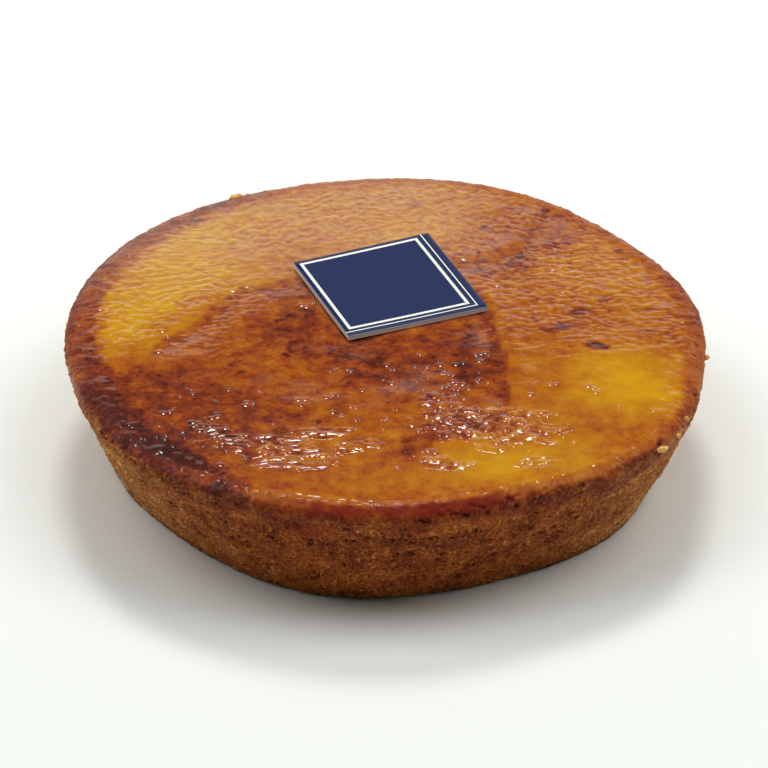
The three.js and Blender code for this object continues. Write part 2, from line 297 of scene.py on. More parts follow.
def lattice_number(table, cells, corner):
    """A number from 0 to 255 for one corner of each unit cell of the lattice."""
    number = table[(cells[0] + corner[0]) & 255]
    number = table[number + ((cells[1] + corner[1]) & 255)]
    return table[number + ((cells[2] + corner[2]) & 255)]


def cell_places(x, y, z):
    """The unit cell of each point, and its place in that cell, along each axis."""
    places = np.broadcast_arrays(x, y, z)
    cells = [np.floor(place).astype(int) for place in places]
    return cells, [place - cell for place, cell in zip(places, cells)]


def gradient_noise(x, y, z, seed):
    """Smooth noise from about -1 to 1 with features of size 1: each corner of a unit cell
    has a random slope, and the eight slopes' heights are blended by 6t^5 - 15t^4 + 10t^3."""
    table, draw = shuffled(seed)
    slopes = draw.normal(size=(256, 3))
    slopes /= np.linalg.norm(slopes, axis=1, keepdims=True)
    cells, local = cell_places(x, y, z)
    blend = [t * t * t * (t * (6 * t - 15) + 10) for t in local]
    total = np.zeros(local[0].shape)
    for corner in product((0, 1), repeat=3):
        slope = slopes[lattice_number(table, cells, corner)]
        height = sum(slope[..., k] * (local[k] - corner[k]) for k in range(3))
        weight = 1
        for k in range(3):
            weight = weight * (blend[k] if corner[k] else 1 - blend[k])
        total += weight * height
    return NOISE_GAIN * total


def rough_noise(x, y, z, seed, octaves=3):
    """Gradient noise, plus copies at half the size and half the height."""
    total = 0
    for octave in range(octaves):
        zoom = 2**octave
        total = total + gradient_noise(x * zoom, y * zoom, z * zoom, seed + octave) / zoom
    return total


def grain_noise(x, y, z, seed):
    """Distance to the nearest of the random dots, one in each unit cell, and a random
    number from 0 to 1 of that dot."""
    table, draw = shuffled(seed)
    dots = draw.random((256, 4))
    cells, local = cell_places(x, y, z)
    nearest = np.full(local[0].shape, np.inf)
    number = np.zeros(local[0].shape)
    for step in product((-1, 0, 1), repeat=3):
        dot = dots[lattice_number(table, cells, step)]
        gap = sum((step[k] + dot[..., k] - local[k]) ** 2 for k in range(3))
        closer = gap < nearest
        nearest = np.where(closer, gap, nearest)
        number = np.where(closer, dot[..., 3], number)
    return np.sqrt(nearest), number


def turned(x, y, degrees):
    """The parts of x, y along a direction at so many degrees, and to the left of it."""
    cos, sin = math.cos(math.radians(degrees)), math.sin(math.radians(degrees))
    return x * cos + y * sin, y * cos - x * sin


def ellipse_share(x, y, long, wide, turn):
    """0 in the middle of a turned ellipse, 1 on its edge, growing evenly beyond it."""
    along, across = turned(x, y, turn)
    return np.hypot(along / long, across / wide)


def degrees_from(way, angle):
    """Degrees from a direction to an angle in radians, from -180 to 180."""
    return (np.degrees(angle) % 360 - way + 180) % 360 - 180


# ---- Forms shared with the solids ----
def unevenness(waves, angle):
    """Sum over the waves of depth times cos(lobes times (angle - towards))."""
    return sum(d * np.cos(lobes * (angle - math.radians(way))) for lobes, d, way in waves)


def rim_radius(angle):
    """Radius of the widest ring at an angle."""
    return RIM_RADIUS + unevenness(RIM_WAVES, angle)


def base_radius(angle):
    """Radius of the wall's foot at an angle."""
    return BASE_RADIUS + unevenness(BASE_WAVES, angle)


def rim_height(angle):
    """Height of the widest ring at an angle."""
    return RIM_HEIGHT + unevenness(HEIGHT_WAVES, angle)


def lumps(x, y, z, size):
    """Six plane waves whose directions turn by the golden angle, summed over sqrt(6)."""
    total = 0
    for wave in range(6):
        turn = wave * math.pi * (3 - math.sqrt(5))
        along = x * math.cos(turn) + y * math.sin(turn) + z * math.cos(2 * turn)
        total = total + np.sin(2 * math.pi * along / (size * (1 + 0.15 * math.sin(3 * turn))) + turn)
    return total / math.sqrt(6)


def curve_through(course, stations):
    """Places and directions along a uniform Catmull-Rom curve through a course."""
    knots = np.array([course[0], *course, course[-1]], float)
    spot = np.linspace(0, len(course) - 1, stations)
    leg = np.minimum(spot.astype(int), len(course) - 2)
    t = (spot - leg)[:, None]
    before, start, end, after = (knots[leg + k] for k in range(4))
    leave, arrive = (end - before) / 2, (after - start) / 2
    place = (
        (2 * start - 2 * end + leave + arrive) * t**3
        + (3 * end - 3 * start - 2 * leave - arrive) * t**2
        + leave * t
        + start
    )
    along = np.gradient(place, axis=0)
    return place, along / np.linalg.norm(along, axis=1, keepdims=True)


def beside_crease(course, x, y):
    """Distance to the left of a crease, and distance beyond its ends."""
    places, ways = curve_through(course, CREASE_STATIONS)
    nearest = np.zeros(x.shape, int)
    least = np.full(x.shape, np.inf)
    for station, (px, py) in enumerate(places):
        gap = (x - px) ** 2 + (y - py) ** 2
        nearest = np.where(gap < least, station, nearest)
        least = np.minimum(gap, least)
    dx, dy = x - places[nearest, 0], y - places[nearest, 1]
    wx, wy = ways[nearest, 0], ways[nearest, 1]
    return wx * dy - wy * dx, wx * dx + wy * dy


def crease_height(crease, x, y):
    """Lip times s exp((1 - s^2) / 2 - past^2): s is the distance to the left of the crease
    over its width, past the distance beyond its ends over their reach."""
    lip, width, course = crease
    left, beyond = beside_crease(course, x, y)
    s, past = left / width, beyond / CREASE_REACH
    return lip * s * np.exp((1 - s * s) / 2 - past * past)


def top_height(x, y):
    """The rim's crest carried inwards, a low dome, the sunken middle, the creases and a
    slow swell that dies out at the edge."""
    angle = np.arctan2(y, x)
    share = np.minimum(np.hypot(x, y) / (rim_radius(angle) - SHOULDER_INSET), 1)
    level = RIM_HEIGHT + SHOULDER_RISE + sum(
        unevenness(((lobes, depth, way),), angle) * share**lobes
        for lobes, depth, way in HEIGHT_WAVES
    )
    inside = 1 - share * share
    inner = np.minimum(3 * inside, 1)
    sag = SAG["depth"] * np.exp(
        -(((x - SAG["x"]) / SAG["wide"]) ** 2) - ((y - SAG["y"]) / SAG["long"]) ** 2
    )
    folds = sum(crease_height(crease, x, y) for crease in CREASES)
    swell = SWELL_DEPTH * lumps(x, y, 0, SWELL_SIZE)
    return level + DOME_RISE * inside + folds + (swell - sag) * inner


def rim_profile(arc, angle):
    """Radius, height and normal (outward, upward) of the crust at a length of arc below the
    crest: a quarter ellipse to the widest ring, then the straight wall down to the foot."""
    radius, height = rim_radius(angle), rim_height(angle)
    bend = np.clip(arc / SHOULDER_ARC, 0, 1) * np.pi / 2
    run_in, drop = radius - base_radius(angle), height - BASE_EDGE
    wall = np.hypot(run_in, drop)
    share = np.maximum(arc - SHOULDER_ARC, 0) / wall
    r = radius - SHOULDER_INSET * (1 - np.sin(bend)) - run_in * share
    z = height + SHOULDER_RISE * np.cos(bend) - drop * share
    out, up = SHOULDER_RISE * np.sin(bend), SHOULDER_INSET * np.cos(bend)
    long = np.hypot(out, up)
    on_wall = arc > SHOULDER_ARC
    return (
        r,
        z,
        np.where(on_wall, drop / wall, out / long),
        np.where(on_wall, -run_in / wall, up / long),
    )


def extended_profile(arc, angle):
    """rim_profile, carried on inside the crest along top_height, where the normal is up."""
    radius, height, out, up = rim_profile(np.maximum(arc, 0), angle)
    radius = radius + np.minimum(arc, 0)
    inner = top_height(radius * np.cos(angle), radius * np.sin(angle))
    return radius, np.where(arc < 0, inner, height), out, up


def round_noise(angle, arc, layers):
    """Gradient noise on the rim, over the length round it and the arc: the sum of layers,
    each with its size, height and seed."""
    total = 0
    for size, high, seed in layers:
        c, s = RIM_RADIUS / size * np.cos(angle), RIM_RADIUS / size * np.sin(angle)
        total = total + high * gradient_noise(c, s, arc / size, seed)
    return total


def in_front(angle):
    """1 on the smooth stretch of the rim in front, 0 elsewhere."""
    way = np.degrees(angle) % 360
    return smooth_step(FRONT[0], FRONT[1], way) * smooth_step(FRONT[3], FRONT[2], way)


def glaze_edge(angle):
    """Arc below the crest where the glaze ends: its reach plus a bell curve for each tongue,
    and a small waver."""
    waver = rough_noise(3 * np.cos(angle), 3 * np.sin(angle), 0, 41)
    edge = GLAZE_REACH + GLAZE_WAVER * waver
    for way, extra, spread in GLAZE_TONGUES:
        edge = edge + extra * np.exp(-((degrees_from(way, angle) / spread) ** 2))
    return np.maximum(edge, GLAZE_LEAST)


def glaze_cover(angle, arc):
    """1 under the glaze, 0 on the bare crust, with an edge that crumbles over 1.5 mm."""
    past = arc - glaze_edge(angle) + round_noise(angle, arc, GLAZE_RAG)
    return smooth_step(GLAZE_FADE, -GLAZE_FADE, past)


def rim_look(angle, arc, tone):
    """Tone and redness at the rim: the baked ring of RIM_RING and then the marks are laid
    over a tone; the syrup is red where it gathered under the crest, most in front."""
    degrees = np.degrees(angle) % 360
    ways, *rows = np.array(RIM_RING).T
    start, ring, lead = (np.interp(degrees, ways, row, period=360) for row in rows)
    waver = round_noise(angle, arc, RIM_WAVER)
    hold = smooth_step(-lead, 0.7 * lead, arc - start + 0.6 * lead * waver)
    tone = tone + (ring + 0.09 * waver - tone) * RING_HOLD * hold
    for way, place, half_way, half_arc, mark, soft in RIM_MARKS:
        off = degrees_from(way, angle)
        away = np.hypot(off / half_way, (arc - place) / half_arc) + 0.25 * waver
        tone = tone + (mark - tone) * smooth_step(1 + soft, 1 - soft, away)
    red = smooth_step(*RED_STARTS, arc + 0.3 * waver) * smooth_step(*RED_ENDS, arc + 0.4 * waver)
    share = RED_ROUND + (RED_FRONT + 0.25 * waver) * in_front(angle)
    return tone, (red * share).clip(0, 1)


def browning(x, y):
    """Tone of the custard's skin: the patches laid one over the other with soft, wandering
    edges, then the creases' sides, the specks, mottling, and a darker tone where syrup
    gathered between the ripples."""
    far, near, size = WANDER
    wander_x = far * rough_noise(x / size, y / size, 0, 11) + near * gradient_noise(x, y, 0, 12)
    wander_y = far * rough_noise(x / size, y / size, 9, 13) + near * gradient_noise(x, y, 9, 14)
    tone = np.full(x.shape, BARE_TONE)
    for px, py, long, wide, turn, patch_tone, soft in BROWNING:
        stray = FLECK_STRAY if long < FLECK_LENGTH else 1
        dx, dy = x + stray * wander_x - px, y + stray * wander_y - py
        hold = smooth_step(1 + soft, 1 - soft, ellipse_share(dx, dy, long, wide, turn))
        tone = tone + (patch_tone - tone) * hold
    for number, left_tone, right_tone, reach in CREASE_TONES:
        left, beyond = beside_crease(CREASES[number][2], x, y)
        left = left + 0.5 * gradient_noise(x / 2, y / 2, number, 17)
        near_it = smooth_step(reach, 0.3 * reach, np.abs(left))
        near_it = near_it * np.exp(-((beyond / CREASE_TONE_END) ** 2))
        side = right_tone + (left_tone - right_tone) * smooth_step(-0.5, 0.7, left)
        tone = tone + CREASE_TONE_HOLD * near_it * (side - tone)
    for px, py, radius in SPECKS:
        away = np.hypot(x + wander_x - px, (y + wander_y - py) * SPECK_STRETCH) / radius
        tone = tone + SPECK_TONE * np.exp(-(away**4))
    mottle = MOTTLE_TONE * rough_noise(x / 2.6, y / 2.2, 3, 15)
    return tone + mottle * (0.75 + 0.65 * tone) - RIPPLE_TONE * skin_ripples(x, y)[0]


# ---- Meshes ----
def make_piece(name, points, faces, material, slot, stands_for=(), numbers=None):
    """A smooth-shaded mesh object from points in millimetres and lists of corner numbers;
    numbers maps a name to one value for each point."""
    mesh = bpy.data.meshes.new(name)
    corners = [corner for part in faces for corner in part.tolist()]
    mesh.from_pydata((np.asarray(points) * MM).tolist(), [], corners)
    mesh.polygons.foreach_set("use_smooth", np.ones(len(mesh.polygons), bool))
    for label, values in (numbers or {}).items():
        layer = mesh.attributes.new(label, "FLOAT", "POINT")
        layer.data.foreach_set("value", np.asarray(values, np.float32).ravel())
    mesh.materials.append(material)
    mesh.update()
    piece = bpy.data.objects.new(name, mesh)
    bpy.context.collection.objects.link(piece)
    if slot:
        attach(piece, "root")
    if stands_for:
        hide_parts(*stands_for)
    return piece


def band_faces(loops):
    """Quads between each closed loop of point numbers and the next. The loops run
    counter-clockwise from above, the lowest or outermost face first, so that they face out."""
    return [
        np.stack([lower, np.roll(lower, -1), np.roll(upper, -1), upper], axis=1)
        for lower, upper in zip(loops, loops[1:])
    ]


def ring_loops(start, rows, around):
    """The point numbers of rows of rings that follow one another from a start."""
    return [start + row * around + np.arange(around) for row in range(rows)]


def fan_faces(loop, centre, facing_up):
    """Triangles that close a loop with its centre point."""
    ends = (loop, np.roll(loop, -1)) if facing_up else (np.roll(loop, -1), loop)
    return np.stack([*ends, np.full(len(loop), centre)], axis=1)


def grid_faces(rows, columns):
    """Quads of a grid of points, with rows along +X and columns along +Y, facing up, and the
    numbers of its border, counter-clockwise from the corner of +X and -Y."""
    number = np.arange(rows * columns).reshape(rows, columns)
    corners = (number[:-1, :-1], number[1:, :-1], number[1:, 1:], number[:-1, 1:])
    sides = (number[-1, :-1], number[:0:-1, -1], number[0, :0:-1], number[:-1, 0])
    return np.stack([corner.ravel() for corner in corners], axis=1), np.concatenate(sides)


def disc_grid(cells):
    """A square grid laid on a disc, rings of the square becoming circles: each node's share
    of the radius and angle, the quads, and the border's numbers from an eighth of a turn
    before angle 0."""
    line = np.linspace(-1, 1, cells + 1)
    a, b = np.meshgrid(line, line, indexing="ij")
    over_a = b / np.where(a == 0, 1, a)
    over_b = a / np.where(b == 0, 1, b)
    angle = np.where(
        np.abs(a) >= np.abs(b),
        np.pi / 4 * over_a + np.pi * (a < 0),
        np.pi / 2 - np.pi / 4 * over_b + np.pi * (b < 0),
    )
    share = np.maximum(np.abs(a), np.abs(b))
    return share.ravel(), angle.ravel(), *grid_faces(cells + 1, cells + 1)


def on_circle(radius, angle, height):
    """Points at a radius, an angle and a height, one row each."""
    parts = np.broadcast_arrays(radius * np.cos(angle), radius * np.sin(angle), height)
    return np.stack(parts, axis=-1)


def rim_grain(x, y, z):
    """Lumps of crumb 1 to 1.5 mm across under the glaze: rounded grains round random dots,
    broken up by rough noise."""
    gap, number = grain_noise(x / 1.6, y / 1.6, z / 1.6, 21)
    lump = (0.1 + 0.9 * number) * smooth_step(0.85, 0.15, gap)
    return 0.8 * lump + 0.6 * rough_noise(x / 2.4, y / 2.4, z / 2.4, 22, 3)


def rim_crumbliness(angle, arc):
    """How far the crumb shows through the glaze: strong on the left and the back right,
    none in front, and only near the rim."""
    way = np.degrees(angle) % 360
    left = smooth_step(120, 150, way) * smooth_step(258, 236, way)
    right = 0.8 * (smooth_step(305, 330, way) + smooth_step(70, 40, way))
    behind = 0.5 * smooth_step(60, 90, way) * smooth_step(150, 120, way)
    at_rim = smooth_step(-4.0, -0.6, arc + round_noise(angle, 0, CRUMBLY_WAVER))
    return (left + right + behind) * at_rim


def skin_ripples(x, y):
    """Ripples of 1 to 2 mm on the custard's skin, as a number about 0, and how much of them
    there is: all of it behind, little in the sunken middle, none in front."""
    bent = y + 1.7 * gradient_noise(x / 4.2, y / 6, 1, 31)
    ripples = gradient_noise(x / 1.3, bent / 1.05, 2, 32)
    ripples = ripples + 0.7 * gradient_noise(x / 0.75, y / 0.65, 5, 35)
    px, py, long, wide = CALM_MIDDLE
    sunken = smooth_step(1.2, 0.85, ellipse_share(x - px, y - py, long, wide, 0))
    behind = smooth_step(*RIPPLES_START, y) * (1 - 0.8 * sunken)
    return ripples * behind * (0.65 + 0.5 * gradient_noise(x / 8, y / 8, 6, 34)), behind


def skin_relief(x, y, z, arc, angle, ripple_height):
    """Height of the skin's own relief: the ripples with a slow waviness, grains of crumb at
    the rim, and in front a ridge, a groove and a fine waver along the crest, each times
    exp(-((arc - place) / width)^2)."""
    ripples, behind = skin_ripples(x, y)
    calm = gradient_noise(x / 4.5, y / 3, 4, 33)
    grain = rim_crumbliness(angle, arc) * rim_grain(x, y, z)
    waves = ripple_height * (ripples + (0.14 + 0.2 * behind) * calm)
    heights = (0.04, -0.05, 0.14 * gradient_noise(x, y, 8, 36))
    front = sum(
        height * np.exp(-(((arc - place) / width) ** 2))
        for height, (place, width) in zip(heights, CREST_LINES)
    )
    return waves + 0.22 * grain + in_front(angle) * front


def surface_lift(x, y, z, angle, arc, sizes):
    """How far the finished surface stands off the profile, how dark its crumb baked, and how
    far the glaze covers it: the skin's relief inside the crest, the crumb's on the bare
    crust, and in between the crumb softened by the glaze."""
    skin = skin_relief(x, y, z, arc, angle, sizes.ripple_height / MM)
    crumb, toast = crumb_relief(x, y, z, angle)
    front = in_front(angle)
    cover = glaze_cover(angle, arc)
    rise = smooth_step(-0.8 + 0.8 * front, 1.2 + 0.2 * front, arc)
    crumbly = rise * (CRUMB_SHARE[0] + CRUMB_SHARE[1] * front)
    share = np.maximum(np.maximum(crumbly, SOAKED_SHARE * soaked(arc)), 1 - cover)
    film = sizes.glaze_thickness / MM * cover
    return skin * (1 - share) + (crumb + GLAZE_FILL * cover) * share + film, toast, cover


def soaked(arc):
    """How far the glaze sank into the crumb: not at the crest, wholly on the wall."""
    return smooth_step(*SOAKED_ARCS, arc)


def wetness(angle, arc):
    """How glossy the syrup is: fully on the custard, half on the crest and little on the wall,
    where it sank into the crumb; but it dried as a thick skin in the runs of THICK_RUNS, and
    along the crest glossy and dull stretches of 2 to 3 mm take turns."""
    front = in_front(angle)
    crest, below, below_front = GLOSS_LOST
    wet = 1 - crest * smooth_step(-2.6, -0.5, arc)
    wet = wet - below * (1 - front) * smooth_step(0.2, 1.8, arc)
    wet = wet - below_front * front * smooth_step(-0.2, 0.8, arc)
    for way, place, half_way, half_arc in THICK_RUNS:
        off = degrees_from(way, angle)
        wet = wet + np.exp(-((off / half_way) ** 2) - ((arc - place) / half_arc) ** 2)
    dull = smooth_step(-0.3, 0.3, round_noise(angle, arc, DULL_STRETCHES))
    return np.minimum(wet, 1) * (1 - 0.65 * dull * np.exp(-((arc / 1.3) ** 2)))


def skin_surface(x, y, sizes):
    """Height, angle and arc of the finished skin inside the crest."""
    angle = np.arctan2(y, x)
    arc = np.hypot(x, y) - rim_radius(angle) + SHOULDER_INSET
    z = top_height(x, y)
    return z + surface_lift(x, y, z, angle, arc, sizes)[0], angle, arc


def skin_numbers(tone, amber, angle, arc, hidden):
    """The numbers that colour the skin's points, and those of the hidden points after them."""
    wet = wetness(angle, arc)
    return {
        label: np.append(values, np.full(hidden, bare))
        for label, values, bare in (("browning", tone, BARE_TONE), ("amber", amber, 0), ("wet", wet, 0))
    }


def make_glazed_top(sizes, material):
    """The custard with its skin and glaze in one closed surface. A disc grid runs from the
    middle to just over the crest, lifted by surface_lift; past SEAM_ARC it sinks under the
    crumb of the rim. Rings then close it down the seam and under the custard."""
    share, angle, quads, border = disc_grid(sizes.top_cells)
    crest = rim_radius(angle) - SHOULDER_INSET
    arc = share * (crest + SKIN_END) - crest
    radius, height, out, up = extended_profile(arc, angle)
    x, y = radius * np.cos(angle), radius * np.sin(angle)
    lift, _, _ = surface_lift(x, y, height, angle, arc, sizes)
    lift = lift - SEAM_DIP * np.clip((arc - SEAM_ARC) / (SKIN_END - SEAM_ARC), 0, 1)
    tone, amber = rim_look(angle, arc, browning(x, y))

    ways = angle[border]
    inset, floor = WALL_THICKNESS + SEAM_GAP, FLOOR_THICKNESS + SEAM_GAP
    side, level = rim_radius(ways) - inset, rim_height(ways)
    points = np.concatenate([
        on_circle(radius + out * lift, angle, height + up * lift),
        on_circle(side, ways, level + SHOULDER_RISE - SEAM_TOP),
        on_circle(side, ways, level),
        on_circle(base_radius(ways) - inset, ways, floor),
        [[0, 0, floor]],
    ])
    loops = [border, *ring_loops(len(share), 3, len(border))]
    faces = [quads, *band_faces(loops[::-1]), fan_faces(loops[-1], len(points) - 1, False)]
    numbers = skin_numbers(tone, amber, angle, arc, len(points) - len(share))
    slot, node = "caramelised_custard", "custard"
    return make_piece("glazed_custard", points, faces, material, slot, (node,), numbers)


def froth_height(x, y):
    """Caps of set froth, and their shade: a parabola 1 - (d / w)^2 round each random dot, d
    being the distance and w a random half width, in cells of 1.8 by 1.5 mm, with caps a third
    as wide on top."""
    bend = 0.5 * gradient_noise(x / 2, y / 2, 0, 71)
    level = np.full(x.shape, 0.5)
    gap, number = grain_noise((x + bend) / 1.8, (y - bend) / 1.5, level, 72)
    cap = np.maximum(1 - (gap / (0.45 + 0.3 * number)) ** 2, 0)
    gap, number = grain_noise(x / 0.62, y / 0.55, level, 73)
    small_cap = np.maximum(1 - (gap / (0.4 + 0.3 * number)) ** 2, 0)
    height = 0.21 * cap + 0.06 * small_cap
    return height, 0.24 * (1 - cap) * (1 - 0.6 * small_cap) - 0.05


def wrinkle_height(x, y):
    """Wrinkles of set syrup 3 mm long, and their shade: the third power of 1 - 1.5 |noise|,
    higher where small bumps cross them."""
    bent = y + gradient_noise(x / 5, y / 5, 3, 74)
    ridge = np.maximum(1 - np.abs(gradient_noise(x / 3.4, bent / 1.1, 2, 75)) * 1.5, 0) ** 3
    bumps = np.maximum(gradient_noise(x / 0.9, y / 0.7, 4, 76), 0)
    height = 0.22 * ridge * (0.6 + 0.6 * bumps) + 0.05 * bumps
    return height, 0.2 * (1 - ridge) - 0.04


def make_froth(name, box, patches, shape, sizes, material):
    """A sheet of froth or wrinkles on the skin: a fine grid over a box (left, right, front,
    back), raised inside the soft patches, and sunk under the skin outside them. Its corners
    are drawn in: radius r becomes r / (1 + (r / reach)^24)^(1/24), which stays below reach."""
    left, right, front, back = box
    across, deep = (int(side * MM / sizes.froth_cell) + 1 for side in (right - left, back - front))
    lines = np.linspace(left, right, across), np.linspace(front, back, deep)
    x, y = np.meshgrid(*lines, indexing="ij")
    reach = rim_radius(np.arctan2(y, x)) - SHOULDER_INSET - FROTH_MARGIN
    squeeze = (1 + (np.hypot(x, y) / reach) ** 24) ** (-1 / 24)
    x, y = x * squeeze, y * squeeze
    hold = np.zeros(x.shape)
    rag = 0.5 * rough_noise(x / 2.5, y / 2.5, 1, 77)
    for px, py, long, wide, turn, strength in patches:
        away = ellipse_share(x - px, y - py, long, wide, turn) + rag
        hold = np.maximum(hold, strength * smooth_step(1.3, 0.6, away))
    height, shade = shape(x, y)
    skin, angle, arc = skin_surface(x, y, sizes)
    z = skin + height * hold + FROTH_LIFT - FROTH_SINK * smooth_step(0.35, 0.0, hold)
    tone, amber = rim_look(angle, arc, browning(x, y))
    quads, border = grid_faces(*x.shape)
    points = np.stack([x, y, z], axis=-1).reshape(-1, 3)
    count = len(points)
    loop = count + np.arange(len(border))
    middle = points.mean(axis=0) - [0, 0, FROTH_KEEL]
    points = np.concatenate([points, points[border] - [0, 0, FROTH_SKIRT], [middle]])
    faces = [quads, *band_faces([loop, border]), fan_faces(loop, len(points) - 1, False)]
    numbers = skin_numbers(tone + shade * hold, amber, angle, arc, len(points) - count)
    return make_piece(name, points, faces, material, "caramelised_custard", (), numbers)


def make_bubbles(sizes, material):
    """Single set bubbles and short chains of them: low caps of a sphere in rings of facets,
    closed underneath, standing on the skin."""
    draw = np.random.default_rng(BUBBLE_SEED)
    spots = []
    for px, py, long, wide, turn, count in BUBBLE_ZONES:
        for _ in range(count):
            reach, way = math.sqrt(draw.random()), draw.random() * 2 * math.pi
            u, v = long * reach * math.cos(way), wide * reach * math.sin(way)
            dx, dy = turned(u, v, -turn)
            x, y = px + dx, py + dy
            size = BUBBLE_SIZE[0] + BUBBLE_SIZE[1] * draw.random() ** 2
            heading = draw.random() * math.pi
            for _ in range(1 + int(3 * draw.random() ** 2)):
                spots.append((x, y, size))
                heading += draw.normal() * BUBBLE_TURN
                x += BUBBLE_STEP[0] * size * math.cos(heading)
                y += BUBBLE_STEP[1] * size * math.sin(heading)
                size *= BUBBLE_GROWTH[0] + BUBBLE_GROWTH[1] * draw.random()
    x, y, size = np.array(spots).T
    inside = np.hypot(x, y) < rim_radius(np.arctan2(y, x)) - SHOULDER_INSET - BUBBLE_MARGIN
    x, y, size = x[inside], y[inside], size[inside]
    skin, angle, arc = skin_surface(x, y, sizes)
    tone, amber = rim_look(angle, arc, browning(x, y))
    around, rows = BUBBLE_FACETS, len(BUBBLE_RINGS)
    per_bubble = rows * around + 2
    way = np.linspace(0, 2 * np.pi, around, endpoint=False)
    # The same points for every bubble of size 1, then each bubble's place and size.
    rings = [on_circle(reach, way, height) for reach, height in BUBBLE_RINGS]
    unit = np.concatenate([*rings, [[0, 0, BUBBLE_TOP], [0, 0, BUBBLE_BOTTOM]]])
    middles = np.stack([x, y, skin], axis=1)
    points = (middles[:, None] + size[:, None, None] * unit).reshape(-1, 3)
    faces = []
    for start in range(0, len(points), per_bubble):
        loops = ring_loops(start, rows, around)
        faces += band_faces(loops)
        faces.append(fan_faces(loops[-1], start + rows * around, True))
        faces.append(fan_faces(loops[0], start + rows * around + 1, False))
    # The two lower rings are darker, where the syrup gathered round the bubble.
    shade = np.repeat(BUBBLE_SHADE, (2 * around, 2 * around + 2))
    numbers = {
        "browning": tone[:, None] + shade,
        "amber": np.repeat(amber, per_bubble),
        "wet": np.ones(len(points)),
    }
    slot = "caramelised_custard"
    return make_piece("syrup_bubbles", points, faces, material, slot, (), numbers)


def make_crumbs(material):
    """A few loose crumbs: spheres of rings of facets with lumps, each stretched."""
    around, rows = CRUMB_FACETS, CRUMB_ROWS
    way = np.linspace(0, 2 * np.pi, around, endpoint=False)
    rise = np.linspace(-np.pi / 2, np.pi / 2, rows + 2)[1:-1]
    a, b = np.meshgrid(rise, way, indexing="ij")
    unit = on_circle(np.cos(a), b, np.sin(a)).reshape(-1, 3)
    unit = np.concatenate([unit, [[0, 0, -1], [0, 0, 1]]])
    points, faces, toasts = [], [], []
    for number, (x, y, z, long, wide, high, turn, toast) in enumerate(CRUMBS):
        start = number * len(unit)
        lump = 1 + CRUMB_LUMPS[1] * gradient_noise(*(CRUMB_LUMPS[0] * unit + 7 * number).T, 81)
        u, v, w = (unit * lump[:, None] * [long, wide, high]).T
        points.append(np.stack([*turned(u, v, -turn), w], axis=1) + [x, y, z])
        loops = ring_loops(start, rows, around)
        faces += band_faces(loops)
        faces.append(fan_faces(loops[0], start + around * rows, False))
        faces.append(fan_faces(loops[-1], start + around * rows + 1, True))
        toasts.append(np.full(len(unit), toast))
    zeros = np.zeros(len(unit) * len(CRUMBS))
    numbers = {label: zeros for label in ("glaze", "browning", "amber", "wet")}
    numbers["toast"] = np.concatenate(toasts)
    points = np.concatenate(points)
    return make_piece("loose_crumbs", points, faces, material, "shortcrust", (), numbers)


def crumb_relief(x, y, z, angle):
    """Depth of the pressed crumb of a baked wall, and how dark it baked: rounded grains of
    1.1 and 0.6 mm, pits where a few grains fell out, and short cracks that run level; the
    pits and cracks are also darkened in colour as painted shade."""
    gap, number = grain_noise(x / 1.1, y / 1.1, z / 0.9, 61)
    grains = smooth_step(0.85, 0.15, gap) * (0.3 + 0.7 * number)
    fine_gap, fine_number = grain_noise(x / 0.6, y / 0.6, z / 0.5, 62)
    fine = smooth_step(0.85, 0.1, fine_gap) * (0.4 + 0.6 * fine_number)
    pits = smooth_step(0.86, 0.93, number) * smooth_step(0.55, 0.25, gap)
    turn = angle * RIM_RADIUS
    crack_line = np.abs(gradient_noise(turn / 5, z / 1.3, 0, 63))
    where = gradient_noise(turn / 3.4, z / 1.7, 7, 64)
    crack = smooth_step(0.09, 0.0, crack_line) * smooth_step(0.30, 0.46, where)
    slow = rough_noise(x / 3.5, y / 3.5, z / 3, 65)
    blotch = gradient_noise(x / 6, y / 6, z / 4, 68)
    relief = 0.26 * grains + 0.18 * fine + 0.14 * slow - 0.5 * pits - 0.55 * crack
    toast = 0.56 - 0.26 * grains * number - 0.26 * fine * fine_number + 0.16 * slow + 0.12 * blotch
    # Painted shade: the pits and cracks are made darker in colour.
    return relief - CRUMB_SINK, toast + 0.5 * pits + 0.65 * crack


